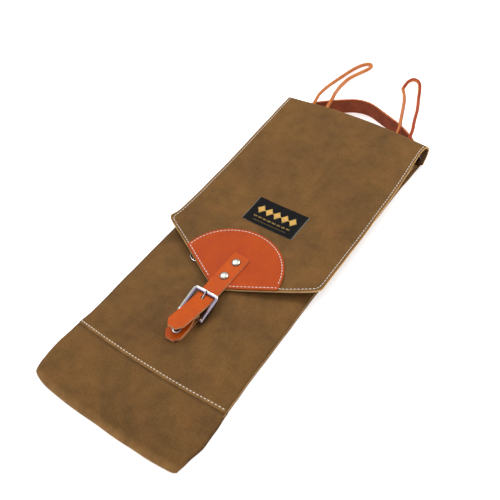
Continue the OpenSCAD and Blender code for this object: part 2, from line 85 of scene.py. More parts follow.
FLAP_HALF_W = box_mm("flap_canvas")[1].x
FLAP_POINT_Y = box_mm("flap_canvas")[0].y + MID_Y
FLAP_CORNER_Y = FLAP_POINT_Y + 48.0
FOLD_Z, TIGHT_R = box_mm("flap_canvas")[1].z, 3.5
HINGE_Y, HINGE_Z = CASE_L - TIGHT_R, FOLD_Z - TIGHT_R
FOLD_R = 5.2
FLAP_MID_Z, FLAP_SIDE_Z = 15.6, 22.0
LINING_T, LAYER_GAP = 1.0, 0.15

PATCH_HALF_W = box_mm("flap_patch")[1].x - 1.8
PATCH_TOP_Y = box_mm("flap_patch")[1].y + MID_Y - 2.0
PATCH_T = 1.8
LABEL_HALF_W = box_mm("woven_label")[1].x
LABEL_Y = box_mm("woven_label")[0].y + MID_Y
LABEL_L = box_mm("woven_label")[1].y + MID_Y - LABEL_Y

STRAP_HALF_W = box_mm("closure_strap")[1].x
STRAP_T, CHAPE_T, TIP_L, TIP_HALF_W = 2.4, 2.2, 6.3, 4.6
STRAP_Z = FLAP_MID_Z + 0.1 + PATCH_T + 0.1 + STRAP_T / 2
CAP_R = (box_mm("chape_rivet")[1].x - box_mm("chape_rivet")[0].x) / 2
JOINTS = {j["name"]: Vector(j["pos_m"]) / MM for j in frame["joints"]}
HEEL_Y, HEEL_Z = JOINTS["buckle_swing"].y + MID_Y, JOINTS["buckle_swing"].z
BUCKLE_TILT = radians(12)
BUCKLE_L, BUCKLE_HALF_W, RAIL_W, BUCKLE_T, BAR_R = 30.0, 15.6, 4.1, 3.2, 1.8
STRAP_LEAN, BUCKLE_LEAN = 2.2, 1.0

HANDLE_LOW, HANDLE_HIGH = box_mm("handle_grip")[0].z, box_mm("handle_grip")[1].z
HANDLE_T = 2.5
HANDLE_MID_Z = (HANDLE_LOW + HANDLE_HIGH) / 2
RIVETS_X = [-83.6, 83.6]
EYELETS_X, EYELET_Z = [-66.0, -49.0, 49.0, 66.0], 17.0
LACE_D, LACE_SIDES = 4.0, 24


# --- Curves and surfaces of the case ---

def place(p):
    """From case coordinates in millimetres to the frame's metres."""
    return Vector((p[0], p[1] - MID_Y, p[2])) * MM


def ease(t):
    """Eases from 0 to 1 as t does, and stays there on both sides."""
    c = min(1.0, max(0.0, t))
    return c * c * (3 - 2 * c)


def mix(a, b, t):
    return a + (b - a) * t


def hump(d, width):
    """1 where d is 0, falling away smoothly on both sides over about width."""
    return exp(-(d / width) ** 2)


def swell(x, y, size, seed):
    """Smooth noise from about -1 to 1, whose bumps are about size apart."""
    return noise.noise(Vector((x / size, y / size, seed * 7.31)))


def through(knots, t):
    """A value eased between the (place, value) knots round t."""
    for (a, va), (b, vb) in zip(knots, knots[1:]):
        if t < b:
            return mix(va, vb, ease((t - a) / (b - a)))
    return knots[-1][1]


def outward(x, half_w=HALF_W):
    """0 on the middle line, 1 at the side edges and beyond them."""
    return min(1.0, abs(x) / half_w)


def bottom_y(x):
    """The closed bottom edge."""
    e = outward(x)
    return SOFT_BOW * (e ** 3 - 1) + (CORNER_CUT * e ** 12 if x < 0 else 2.0 * e ** 40)


def seam_y(x):
    """The seam between the boot and the front panel."""
    return BOOT_L + SEAM_RISE * outward(x) ** 2.5


def side_z(y):
    """The height of the front's side edges."""
    return mix(SIDE_LOW, SIDE_HIGH, ease((y - 150) / (FULL_DEPTH_Y - 150)))


def mid_z(y):
    """The height of the front's middle line."""
    return mix(FRONT_Z, MOUTH_Z, ease((y - 260) / (FULL_DEPTH_Y - 260)))


def front_z(x, y):
    return mix(side_z(y), mid_z(y), (1 - outward(x) ** 4) ** 0.6)


def boot_z(x, y):
    d = max(0.0, y - bottom_y(x))
    return mix(CLOSED_Z, front_z(x, y), sqrt(1 - (1 - min(1, d / DOME_L)) ** 2.5))


def flap_edge_y(x):
    """The flap's pointed front edge, softened at its point and at its corners."""
    soft = 5.0
    slope = (FLAP_CORNER_Y - FLAP_POINT_Y) / (FLAP_HALF_W - soft)
    round_off = 4.0 * outward(x, FLAP_HALF_W) ** 30
    return FLAP_POINT_Y + slope * (sqrt(x * x + soft * soft) - soft) + round_off


def flap_z(x, y):
    rise = max(0.0, (y - FLAP_POINT_Y) / (HINGE_Y - FLAP_POINT_Y)) ** 3
    low = mix(FLAP_MID_Z, FLAP_SIDE_Z, outward(x, FLAP_HALF_W) ** 2.2)
    return mix(low, FOLD_Z, rise)


def patch_radius():
    """The radius of the patch's round edge, from its top to its two side corners."""
    drop = PATCH_TOP_Y - (flap_edge_y(PATCH_HALF_W) + 1) - 2
    return (PATCH_HALF_W ** 2 + drop ** 2) / (2 * drop)


def patch_top_edge(x):
    r = patch_radius()
    return PATCH_TOP_Y - r + sqrt(r * r - x * x)


def curve_through(points, steps):
    """A smooth curve through the points, with steps points for each span."""
    p = [Vector(q) for q in points]
    n = len(p) - 1
    out = []
    for i in range(n):
        a, b, c, d = p[max(0, i - 1)], p[i], p[i + 1], p[min(n, i + 2)]
        for k in range(steps):
            t = k / steps
            out.append(0.5 * (2 * b + (c - a) * t + (2 * a - 5 * b + 4 * c - d) * t * t
                              + (3 * b - a - 3 * c + d) * t ** 3))
    return out + [p[n]]


def path_length(points):
    return sum((b - a).length for a, b in zip(points, points[1:]))


# --- Mesh building ---

class Shape:
    """A mesh under way: points in the frame, faces, texture places in metres, and a per-point
    value for wear (above 0) and painted shade (below 0).
    """

    def __init__(self):
        self.points, self.faces, self.uv, self.wear_and_painted_shade = [], [], [], []

    def add(self, p, uv=(0.0, 0.0), wear_and_painted_shade=0.0):
        self.points.append(p)
        self.uv.append(uv)
        self.wear_and_painted_shade.append(wear_and_painted_shade)
        return len(self.points) - 1

    def face(self, *corners):
        self.faces.append(corners)

    def bridge(self, a, b):
        """Joins two closed rings of points that are equally long."""
        n = len(a)
        for k in range(n):
            self.face(a[k], a[(k + 1) % n], b[(k + 1) % n], b[k])


def new_piece(name, shape, materials):
    mesh = bpy.data.meshes.new(name)
    mesh.from_pydata([tuple(p) for p in shape.points], [], shape.faces)
    layer = mesh.uv_layers.new(name="cloth")
    for loop in mesh.loops:
        layer.data[loop.index].uv = shape.uv[loop.vertex_index]
    wear_and_painted_shade = mesh.attributes.new("wear_and_painted_shade", "FLOAT", "POINT")
    wear_and_painted_shade.data.foreach_set("value", shape.wear_and_painted_shade)
    for m in materials:
        mesh.materials.append(m)
    for polygon in mesh.polygons:
        polygon.use_smooth = True
    piece = bpy.data.objects.new(name, mesh)
    bpy.context.scene.collection.objects.link(piece)
    return piece


def grid(shape, point, columns, rows, wear_and_painted_shade=None, slot=None):
    """Adds a sheet. point(u, v) is in millimetres, with u from -1 to 1 and v from 0 to 1;
    slot(u, v) says where it is cut away."""
    p = [[place(point(2 * i / columns - 1, j / rows)) for i in range(columns + 1)]
         for j in range(rows + 1)]
    middle = columns // 2
    across = [[0.0] * (columns + 1) for _ in range(rows + 1)]
    along = [[0.0] * (columns + 1) for _ in range(rows + 1)]
    for j in range(rows + 1):
        for i in range(middle + 1, columns + 1):
            across[j][i] = across[j][i - 1] + (p[j][i] - p[j][i - 1]).length
        for i in range(middle - 1, -1, -1):
            across[j][i] = across[j][i + 1] - (p[j][i] - p[j][i + 1]).length
        if j:
            for i in range(columns + 1):
                along[j][i] = along[j - 1][i] + (p[j][i] - p[j - 1][i]).length
    at = [[shape.add(p[j][i], (across[j][i], p[0][i].y + along[j][i]),
                     wear_and_painted_shade(2 * i / columns - 1, j / rows) if wear_and_painted_shade else 0.0)
           for i in range(columns + 1)] for j in range(rows + 1)]
    for j in range(rows):
        for i in range(columns):
            if not (slot and slot(2 * (i + 0.5) / columns - 1, (j + 0.5) / rows)):
                shape.face(at[j][i], at[j][i + 1], at[j + 1][i + 1], at[j + 1][i])


def panel(name, materials, point, columns, rows, wear_and_painted_shade=None):
    """A piece that is one grid, with no thickness yet."""
    shape = Shape()
    grid(shape, point, columns, rows, wear_and_painted_shade)
    return new_piece(name, shape, materials)


def stand_in(piece, body, slot, *nodes):
    """Puts a piece on its body, in place of CAD nodes."""
    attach(piece, body)
    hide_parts(*nodes)
    return piece


def thicken(piece, t, offset=-1.0, back=0, rim=0):
    """Gives a sheet its thickness: below it by default, 0 for both sides and 1 for above."""
    m = piece.modifiers.new("thickness", "SOLIDIFY")
    m.thickness, m.offset = t * MM, offset
    m.use_even_offset = True
    m.material_offset, m.material_offset_rim = back, rim
    return piece


def soften(piece):
    m = piece.modifiers.new("soft", "SUBSURF")
    m.levels = m.render_levels = 1
    return piece


def ease_edges(piece, width):
    """Rounds the cut edges of a leather or metal piece."""
    m = piece.modifiers.new("eased", "BEVEL")
    m.width, m.segments, m.limit_method = width * MM, 3, "ANGLE"
    m.angle_limit = radians(40)
    n = piece.modifiers.new("normals", "WEIGHTED_NORMAL")
    n.keep_sharp = True
    return piece


def cloth(name, point, columns, rows, t, materials, wear_and_painted_shade, rim=0):
    """A piece of cloth t millimetres thick, below the face that point(u, v) gives."""
    return soften(thicken(panel(name, materials, point, columns, rows, wear_and_painted_shade), t, rim=rim))


def sweep(shape, path, section, closed=False, up=(0, 0, 1), size=None, roll=None):
    """Adds a bar along path, both in metres; section is its outline as (side, up) pairs."""
    n, m = len(path), len(section)
    rings = []
    run = 0.0
    for i, p in enumerate(path):
        if closed:
            way = path[(i + 1) % n] - path[i - 1]
        else:
            way = path[min(n - 1, i + 1)] - path[max(0, i - 1)]
        way.normalize()
        side = way.cross(Vector(up)).normalized()
        over = side.cross(way)
        if roll:
            turn = Matrix.Rotation(radians(roll(i / (n - 1))), 3, way)
            side, over = turn @ side, turn @ over
        k = size(i / (n - 1)) if size else 1.0
        if i:
            run += (p - path[i - 1]).length
        rings.append([shape.add(p + (side * a + over * b) * k, (j / m * 0.012, run))
                      for j, (a, b) in enumerate(section)])
    for i in range(n if closed else n - 1):
        shape.bridge(rings[i], rings[(i + 1) % n])
    if not closed:
        shape.face(*reversed(rings[0]))
        shape.face(*rings[-1])


def round_section(r, sides):
    turn = 2 * pi / sides
    return [(r * cos(turn * k), r * sin(turn * k)) for k in range(sides)]


def square_section(w, h, sides, power):
    """An outline between an ellipse and a rectangle; a small power makes it squarer."""
    def squared(half, c):
        return half * copysign(abs(c) ** power, c)
    angles = [2 * pi * (k + 0.5) / sides for k in range(sides)]
    return [(squared(w / 2, cos(a)), squared(h / 2, sin(a))) for a in angles]


def lathe(shape, base, axis, profile, sides=40):
    """Adds a turned part; profile is (radius, height) pairs in millimetres along axis."""
    turn = Vector((0, 0, 1)).rotation_difference(Vector(axis)).to_matrix()
    rings = []
    for r, h in profile:
        around = [(0, 0)] if r < 1e-6 else round_section(r * MM, sides)
        rings.append([shape.add(base + turn @ Vector((x, y, h * MM))) for x, y in around])
    for a, b in zip(rings, rings[1:]):
        if len(a) == len(b):
            shape.bridge(a, b)
            continue
        for k in range(sides):
            j = (k + 1) % sides
            if len(a) == 1:
                shape.face(a[0], b[j], b[k])
            else:
                shape.face(a[k], a[j], b[0])


def dome(shape, base, axis, r, h):
    """Adds a rivet cap: a short post, a flat underside with a rolled rim, and a dome."""
    profile = [(0, -1.5), (1.5, -1.5), (1.5, 0.0), (r * 0.93, 0.0), (r * 0.985, 0.12 * h),
               (r, 0.24 * h), (r * 0.985, 0.36 * h)]
    for k in range(1, 9):
        a = pi / 2 * k / 8
        profile.append((r * 0.96 * cos(a) ** 0.9 if k < 8 else 0.0,
                        mix(0.4, 1.0, sin(a)) * h))
    lathe(shape, base, axis, profile)


def walk(points, spacing):
    """Places along a line of (point, normal) pairs, a fixed distance apart."""
    out, need = [], 0.0
    for (a, na), (b, nb) in zip(points, points[1:]):
        d = (b - a).length
        while need <= d and d > 0:
            t = need / d
            out.append((a.lerp(b, t), na.lerp(nb, t).normalized()))
            need += spacing
        need -= d
    return out


def sew(name, line, body="case"):
    """A row of stitches along line, a list of (millimetre point, normal) pairs."""
    pitch, length, r = 3.9, 2.9, 0.44
    shape = Shape()
    line = [(place(p), Vector(n)) for p, n in line]
    halves = walk(line, pitch * MM)
    rises = [(-0.42, 0.45), (0.05, 0.85), (0.35, 1.0), (0.42, 1.02), (0.35, 1.0), (0.05, 0.85),
             (-0.42, 0.45)]
    for (a, na), (b, _) in zip(halves, halves[1:]):
        way = (b - a).normalized()
        side = way.cross(na).normalized()
        start = a + way * (pitch - length) / 2 * MM
        rings = []
        for k, (lift, width) in enumerate(rises):
            c = start + way * (length * k / (len(rises) - 1)) * MM + na * (lift * r) * MM
            rings.append([shape.add(c + (side * cos(pi * j / 3)
                                         + na * sin(pi * j / 3)) * r * width * MM)
                          for j in range(6)])
        for p, q in zip(rings, rings[1:]):
            for j in range(6):
                shape.face(p[j], q[j], q[(j + 1) % 6], p[(j + 1) % 6])
        shape.face(*rings[0])
        shape.face(*reversed(rings[-1]))
    piece = new_piece(name, shape, [THREAD])
    if body:
        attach(piece, body)
    return piece


# --- Materials ---

class Finish:
    """A material's node tree, with short calls for the nodes that the finishes share."""

    def __init__(self, name, roughness, metallic=0.0, specular=0.5):
        self.material = bpy.data.materials.new(name)
        self.material.use_nodes = True
        self.tree = self.material.node_tree
        self.shader = self.tree.nodes["Principled BSDF"]
        self.set("Roughness", roughness)
        self.set("Metallic", metallic)
        self.set("Specular IOR Level", specular)

    def set(self, socket, value):
        self.shader.inputs[socket].default_value = value

    def node(self, kind, **settings):
        n = self.tree.nodes.new("ShaderNode" + kind)
        for key, value in settings.items():
            setattr(n, key, value)
        return n

    def feed(self, socket, source):
        if isinstance(source, bpy.types.NodeSocket):
            self.tree.links.new(source, socket)
        else:
            socket.default_value = source

    def place(self, scale=(1, 1, 1), cloth_map=True):
        """Where on the piece, in metres; scale stretches the pattern that reads it."""
        if cloth_map:
            source = self.node("UVMap", uv_map="cloth").outputs[0]
        else:
            source = self.node("TexCoord").outputs["Object"]
        m = self.node("Mapping")
        self.feed(m.inputs["Vector"], source)
        m.inputs["Scale"].default_value = scale
        return m.outputs[0]

    def noise(self, where, scale, detail=3.0, rough=0.55):
        n = self.node("TexNoise")
        self.feed(n.inputs["Vector"], where)
        self.feed(n.inputs["Scale"], scale)
        self.feed(n.inputs["Detail"], detail)
        self.feed(n.inputs["Roughness"], rough)
        return n.outputs["Fac"]

    def math(self, operation, a, b=0.0):
        n = self.node("Math", operation=operation)
        self.feed(n.inputs[0], a)
        self.feed(n.inputs[1], b)
        return n.outputs[0]

    def span(self, value, low, high, to_low=0.0, to_high=1.0):
        n = self.node("MapRange")
        for socket, v in zip(("Value", "From Min", "From Max", "To Min", "To Max"),
                             (value, low, high, to_low, to_high)):
            self.feed(n.inputs[socket], v)
        return n.outputs[0]

    def total(self, *parts):
        """The sum of two (value, low, high, to_low, to_high) spans."""
        first, second = (self.span(*part) for part in parts)
        return self.math("ADD", first, second)

    def blend(self, t, a, b, how="MIX"):
        n = self.node("Mix", data_type="RGBA", blend_type=how)
        self.feed(n.inputs[0], t)
        self.feed(n.inputs[6], a)
        self.feed(n.inputs[7], b)
        return n.outputs[2]

    def worn(self):
        # per-point value: rubbed wear above 0, painted shade below 0
        return self.node("Attribute", attribute_name="wear_and_painted_shade").outputs["Fac"]

    def bump(self, height, depth, strength=1.0, under=None):
        """A relief of depth millimetres."""
        n = self.node("Bump")
        self.feed(n.inputs["Height"], height)
        self.feed(n.inputs["Distance"], depth * MM)
        self.feed(n.inputs["Strength"], strength)
        if under is not None:
            self.feed(n.inputs["Normal"], under)
        return n.outputs[0]

    def finish(self, colour=None, roughness=None, normal=None):
        for socket, source in (("Base Color", colour), ("Roughness", roughness),
                               ("Normal", normal)):
            if source is not None:
                self.feed(self.shader.inputs[socket], source)
        return self.material


def rgb(r, g, b):
    """A colour from its 0 to 255 screen values."""
    return tuple(((c / 255 + 0.055) / 1.055) ** 2.4 if c > 10 else c / 3294.6
                 for c in (r, g, b)) + (1.0,)


def weave(f, pitch):
    """Height of a plain weave whose threads are pitch millimetres apart."""
    where = f.place()
    split = f.node("SeparateXYZ")
    f.feed(split.inputs[0], where)
    k = pi / (pitch * MM)
    warp = f.math("SINE", f.math("MULTIPLY", split.outputs[0], k))
    weft = f.math("SINE", f.math("MULTIPLY", split.outputs[1], k))
    over = f.math("GREATER_THAN", f.math("MULTIPLY", warp, weft), 0.0)
    warp, weft = f.math("ABSOLUTE", warp), f.math("ABSOLUTE", weft)
    n = f.node("Mix", data_type="FLOAT")
    f.feed(n.inputs[0], over)
    f.feed(n.inputs[2], warp)
    f.feed(n.inputs[3], weft)
    return n.outputs[0]


def canvas_finish(name, light, dark, rub, pitch=0.85):
    """Waxed cotton duck: mottled wax, slubby threads, paler rubbed edges, and painted shade where
    the per-point value is below 0.
    """
    roughness = 0.72
    f = Finish(name, roughness, specular=0.14)
    clouds = f.noise(f.place(), 17.0, 4.0, 0.6)
    patches = f.noise(f.place(), 75.0, 4.0, 0.62)
    grain = f.noise(f.place(), 480.0, 4.0, 0.75)
    warp_slub = f.noise(f.place((900, 22, 1)), 1.0, 2.0, 0.5)
    weft_slub = f.noise(f.place((22, 900, 1)), 1.0, 2.0, 0.5)
    tone = f.total((clouds, 0.36, 0.66, 0.0, 0.55), (patches, 0.3, 0.7, 0.0, 0.45))
    colour = f.blend(tone, dark, light)
    slub = f.math("MULTIPLY", f.span(warp_slub, 0.3, 0.75, 0.95, 1.04),
                  f.span(weft_slub, 0.3, 0.75, 0.95, 1.04))
    speck = f.math("MULTIPLY", slub, f.span(grain, 0.3, 0.7, 0.8, 1.2))
    shade = f.node("CombineXYZ")
    for socket in shade.inputs:
        f.feed(socket, speck)
    colour = f.blend(1.0, colour, shade.outputs[0], "MULTIPLY")
    red = f.noise(f.place(), 33.0, 4.0, 0.6)
    colour = f.blend(f.span(red, 0.42, 0.7, 0.0, 0.24), colour, rgb(136, 86, 54))
    rubbed = f.math("MULTIPLY", f.worn(), f.span(patches, 0.3, 0.6, 0.35, 1.0))
    colour = f.blend(rubbed, colour, rub)
    # painted shade: negative values of the per-point attribute blend the cloth towards a dark
    # brown
    colour = f.blend(f.span(f.worn(), 0.0, -1.0, 0.0, 0.85), colour, rgb(46, 32, 20))
    rough = f.span(clouds, 0.35, 0.65, roughness - 0.1, roughness + 0.1)
    low = f.bump(f.math("ADD", f.math("MULTIPLY", patches, 0.7), clouds), 1.6, 0.35)
    threads = f.bump(weave(f, pitch), 0.16, 0.55, low)
    return f.finish(colour, rough, f.bump(slub, 0.12, 0.4, threads))


def raw_edge_finish(name, light, dark):
    """A cut cloth edge: pale thread ends."""
    f = Finish(name, 0.85, specular=0.12)
    ends = f.noise(f.place((1500, 1500, 1), False), 1.0, 2.0, 0.6)
    colour = f.blend(f.span(ends, 0.35, 0.65), dark, light)
    return f.finish(colour, normal=f.bump(ends, 0.25, 0.7))


def leather_finish(name, light, dark, roughness=0.5, grain=0.55):
    """Vegetable-tanned leather: pores, pull-up clouds and faint scuffs."""
    f = Finish(name, roughness, specular=0.17)
    clouds = f.noise(f.place(), 42.0, 4.0, 0.6)
    fine = f.noise(f.place(), 420.0, 4.0, 0.65)
    scuffs = f.noise(f.place((260, 1300, 260)), 1.0, 3.0, 0.6)
    cells = f.node("TexVoronoi", feature="DISTANCE_TO_EDGE")
    f.feed(cells.inputs["Vector"], f.place())
    f.feed(cells.inputs["Scale"], 1250.0)
    tone = f.total((clouds, 0.34, 0.68, 0.0, 0.7), (fine, 0.3, 0.7, 0.0, 0.3))
    colour = f.blend(tone, dark, light)
    colour = f.blend(f.math("MULTIPLY", f.worn(), 0.55), colour, dark)
    rough = f.total((clouds, 0.3, 0.7, roughness - 0.07, roughness + 0.05),
                    (scuffs, 0.5, 0.8, 0.0, 0.12))
    pores = f.bump(f.span(cells.outputs["Distance"], 0.0, 0.12), 0.1, grain * 0.6)
    return f.finish(colour, rough, f.bump(fine, 0.22, grain * 0.5, pores))


def flesh_finish(name, light, dark):
    """The rough inner side of leather."""
    f = Finish(name, 0.85, specular=0.12)
    nap = f.noise(f.place(), 700.0, 5.0, 0.75)
    clouds = f.noise(f.place(), 60.0, 3.0, 0.6)
    colour = f.blend(f.span(clouds, 0.3, 0.7), dark, light)
    colour = f.blend(f.span(nap, 0.45, 0.75, 0.0, 0.35), colour, light)
    return f.finish(colour, normal=f.bump(nap, 0.35, 0.6))


def metal_finish(name, tint, roughness, side):
    """Polished nickel plate with fine handling scratches, and painted reflection: darker where
    the faces lean sideways and down.
    """
    f = Finish(name, roughness, metallic=1.0)
    scratches = f.noise(f.place((3500, 500, 1800), False), 1.0, 2.0, 0.6)
    haze = f.noise(f.place(cloth_map=False), 160.0, 3.0, 0.6)
    rough = f.total((haze, 0.3, 0.7, roughness * 0.7, roughness * 1.5),
                    (scratches, 0.62, 0.8, 0.0, 0.12))
    colour = f.blend(f.span(haze, 0.35, 0.75, 0.0, 0.5), tint, rgb(176, 172, 170))
    # painted reflection: the colour turns to the side tint as the normal leans from upright, and
    # to a dark purple-grey as it faces down
    up = f.node("SeparateXYZ")
    f.feed(up.inputs[0], f.node("NewGeometry").outputs["Normal"])
    colour = f.blend(f.span(up.outputs[2], 0.93, 0.7), colour, side)
    colour = f.blend(f.span(up.outputs[2], 0.62, 0.2), colour, rgb(66, 56, 66))
    return f.finish(colour, rough, f.bump(scratches, 0.02, 0.2))


def thread_finish(name, light, dark):
    """Twisted sewing thread."""
    f = Finish(name, 0.6, specular=0.25)
    twist = f.noise(f.place(cloth_map=False), 1900.0, 2.0, 0.5)
    colour = f.blend(f.span(twist, 0.3, 0.7), dark, light)
    return f.finish(colour, normal=f.bump(twist, 0.15, 0.6))


def label_finish(name, light, dark):
    """Fine satin-woven label cloth."""
    f = Finish(name, 0.6, specular=0.1)
    ribs = f.noise(f.place((2600, 160, 1)), 1.0, 2.0, 0.5)
    clouds = f.noise(f.place(), 60.0, 3.0, 0.6)
    tone = f.total((ribs, 0.3, 0.7, 0.0, 0.5), (clouds, 0.3, 0.7, 0.0, 0.5))
    colour = f.blend(tone, dark, light)
    colour = f.blend(f.worn(), colour, rgb(168, 160, 140))
    return f.finish(colour, normal=f.bump(weave(f, 0.35), 0.08, 0.6, f.bump(ribs, 0.1, 0.5)))


CANVAS = canvas_finish("waxed_canvas", rgb(132, 96, 52), rgb(98, 70, 37), rgb(172, 128, 76))
LINING = canvas_finish("lining_canvas", rgb(128, 92, 54), rgb(92, 66, 38), rgb(186, 140, 92))
RAW_EDGE = raw_edge_finish("cut_canvas_edge", rgb(255, 214, 154), rgb(218, 166, 110))
TAPE = canvas_finish("tape", rgb(116, 85, 54), rgb(88, 64, 42), rgb(150, 112, 72), 0.6)
PATCH = leather_finish("patch_leather", rgb(193, 77, 10), rgb(171, 61, 7))
STRAP = leather_finish("strap_leather", rgb(207, 88, 8), rgb(187, 72, 5), 0.46)
CUT_LEATHER = flesh_finish("cut_leather_edge", rgb(250, 184, 134), rgb(224, 138, 88))
PATCH_EDGE = flesh_finish("patch_edge", rgb(196, 104, 56), rgb(150, 70, 34))
STRAP_BACK = flesh_finish("strap_flesh_side", rgb(176, 104, 62), rgb(134, 72, 42))
HANDLE_IN = flesh_finish("handle_flesh_side", rgb(150, 76, 50), rgb(122, 58, 38))
HANDLE_OUT = leather_finish("handle_leather", rgb(172, 84, 42), rgb(128, 58, 30))
HANDLE_EDGE = flesh_finish("handle_edge", rgb(212, 128, 80), rgb(168, 88, 50))
LACE = leather_finish("lace_leather", rgb(210, 132, 72), rgb(186, 100, 48), 0.55, 0.8)
LACE_FACE = leather_finish("lace_face", rgb(178, 70, 26), rgb(144, 50, 18), 0.5, 0.8)
# each metal's last colour is its painted reflection on side-facing faces
NICKEL = metal_finish("nickel", rgb(232, 228, 220), 0.16, rgb(196, 186, 204))
NICKEL_CAP = metal_finish("nickel_cap", rgb(206, 198, 182), 0.24, rgb(160, 150, 140))
# painted reflection: a darker purple-grey copy of the nickel for faces of the buckle
NICKEL_PAINTED_REFLECTION = metal_finish("nickel_painted_reflection", rgb(176, 160, 196), 0.2, rgb(138, 122, 158))
THREAD = thread_finish("sewing_thread", rgb(255, 252, 244), rgb(238, 228, 210))
LABEL = label_finish("label_weave", rgb(24, 24, 27), rgb(9, 9, 11))
GOLD = thread_finish("gold_thread", rgb(255, 216, 128), rgb(226, 176, 88))
LABEL_EDGE = raw_edge_finish("label_edge", rgb(206, 196, 168), rgb(120, 112, 96))


# --- Camera ---

def make_camera():
    azimuth, elevation, roll = (radians(a) for a in (40.63, 49.02, -6.83))
    distance, target = 0.7525, Vector((-0.0068, -0.0092, 0.0))
    back = Vector((sin(azimuth) * cos(elevation),
                   -cos(azimuth) * cos(elevation), sin(elevation)))
    right = Vector((0, 0, 1)).cross(back).normalized()
    level = Matrix((right, back.cross(right), back)).transposed()
    turned = level @ Matrix.Rotation(roll, 3, "Z")
    data = bpy.data.cameras.new("camera")
    data.lens, data.sensor_width = 50.0, 36.0
    camera = bpy.data.objects.new("camera", data)
    camera.matrix_world = Matrix.Translation(target + back * distance) @ turned.to_4x4()
    bpy.context.scene.collection.objects.link(camera)
    bpy.context.scene.camera = camera


make_camera()


# --- Hanging laces ---

LACE_START_Y = CASE_L - CANVAS_T + 0.1
LACE_LEFT_ROUTE = [
    (-66, LACE_START_Y, 17), (-66, 457, 17), (-66, 461, 18.8), (-66.5, 468, 22.8),
    (-68.3, 476, 23.4), (-70.6, 486, 22.3), (-73.6, 502, 17.8), (-76.6, 518, 12.2),
    (-78, 534, 7.6), (-77.8, 548, 5), (-76.3, 562, 3.6), (-73.4, 577, 2.8),
    (-69.6, 588.5, 2.5), (-65, 596.3, 2.1), (-61.6, 599, 2.1), (-57.7, 598.8, 2.1),
    (-55.6, 595.4, 2.1), (-56.6, 588.5, 2.1), (-61, 577.5, 2.1), (-65.5, 567, 2.1),
    (-68.5, 556, 2.1), (-68.5, 544, 3.4), (-65.5, 529, 8), (-60.5, 513, 14), (-55.5, 499, 20.5),
    (-51.5, 488, 23.6), (-50, 480, 23.4), (-49, 470, 21.2), (-49, 461, 18.2), (-49, 457, 17),
    (-49, LACE_START_Y, 17)]
LACE_RIGHT_ROUTE = [
    (49, LACE_START_Y, 17), (49, 457, 17), (49, 461, 18.2), (48.5, 470, 21.4), (46.5, 479, 23.6),
    (42.3, 489, 23), (37.2, 502, 19.5), (30.8, 518, 14), (24.3, 534, 8.5), (18, 549, 4),
    (12.5, 560, 2.2), (7.5, 567.5, 2.1), (4.2, 572.5, 2.1), (3, 582, 2.1), (3.3, 590, 2.1),
    (7, 597, 2.1), (14, 596, 2.1), (19.8, 589, 2.1), (25.5, 577, 2.3), (32, 561, 4),
    (38.7, 545, 8), (45.5, 528, 12.5), (52, 509, 17.5), (58, 492, 21.8), (62.5, 480, 23.6),
    (65.3, 468, 22.4), (66, 461, 18.8), (66, 457, 17), (66, LACE_START_Y, 17)]


def make_lace(name, route, roll):
    """A square-cut thong that leaves one eyelet, loops and goes back into the next."""
    path = [place(p) for p in curve_through(route, 5)]
    shape = Shape()
    sweep(shape, path, square_section(LACE_D * MM, LACE_D * 0.94 * MM, LACE_SIDES, 0.5),
          roll=roll)
    lace = new_piece(name, shape, [LACE, LACE_FACE])
    for i, polygon in enumerate(lace.data.polygons):
        quarter = (i % LACE_SIDES + 0.5) / LACE_SIDES * 4
        if 0.5 < quarter < 1.5 and len(polygon.vertices) == 4:
            polygon.material_index = 1
    stand_in(lace, "case", "lace_leather", name.replace("_thong", ""))


make_lace("lace_left_thong", LACE_LEFT_ROUTE, lambda t: 215 - 50 * t)
make_lace("lace_right_thong", LACE_RIGHT_ROUTE, lambda t: 75 - 85 * ease((t - 0.35) / 0.25))


# --- Canvas case ---

def calm(x, y):
    """Near 0 where hardware lies flat on the front, 1 elsewhere."""
    chape_y, ring_x, ring_y = 122, -42, 202
    tab = hump(x, 22) * hump(y - chape_y, 34)
    ring = hump(x - ring_x, 16) * hump(y - ring_y, 20)
    return max(0.0, 1 - tab - ring)


def gathers(x, d, height, reach, size, seed):
    """Puckers beside a seam that is d away; they fade within about reach of it."""
    return height * exp(-abs(d) / reach) * swell(x, 0, size, seed)


def front_relief(x, y):
    """Undulation of the front, with puckers at the boot seam and a crease beside the flap."""
    broad = 0.9 * swell(x, y, 75, 3) + 0.5 * swell(x, y, 30, 5)
    drag = 0.5 * swell(x * 0.8 + y * 0.35, y * 0.2, 16, 9)
    puckers = gathers(x, y - seam_y(x), 0.4, 9, 6.5, 11)
    crease = 1.3 * hump(y - 204 + (x - 80) * 0.55, 2.2) * hump(x - 84, 9)
    return (1 - outward(x) ** 5) * calm(x, y) * (broad + drag) + (puckers + crease)


LEFT_SAG = [(0, 3.6), (17, 5.2), (38, 6.0), (60, 4.8), (88, 2.4), (150, 3.4), (182, 3.6),
            (245, 2.4), (300, 0.0)]
RIGHT_SAG = [(0, -2.8), (14, -2.0), (33, 0.8), (51, 0.2), (69, -1.4), (116, -3.0), (167, -3.8),
             (214, -4.6), (287, -4.3), (400, -3.2), (440, -1.9)]


def edge_wobble(y, side):
    """How far the case's side edge strays from a straight line, as it lies on the ground."""
    sag = through(LEFT_SAG if side < 0 else RIGHT_SAG, y) * min(1.0, abs(side)) ** 2
    frayed = 1.1 * hump(y - 262, 9) * (1 if side > 0 else 0.3)
    hand = copysign(40, side)
    return sag + 0.4 * swell(y, hand, 55, 15) + 0.25 * swell(y, hand, 13, 17) + frayed


def taper(y):
    """Half the width of the case at y, which narrows a little towards the bottom end."""
    return HALF_W - TAPER * max(0.0, 1 - y / TAPER_L) ** 2


def denser(u):
    """Spreads columns so that they are close together near the side edges."""
    return sin(u * pi / 2) * 0.55 + u * 0.45


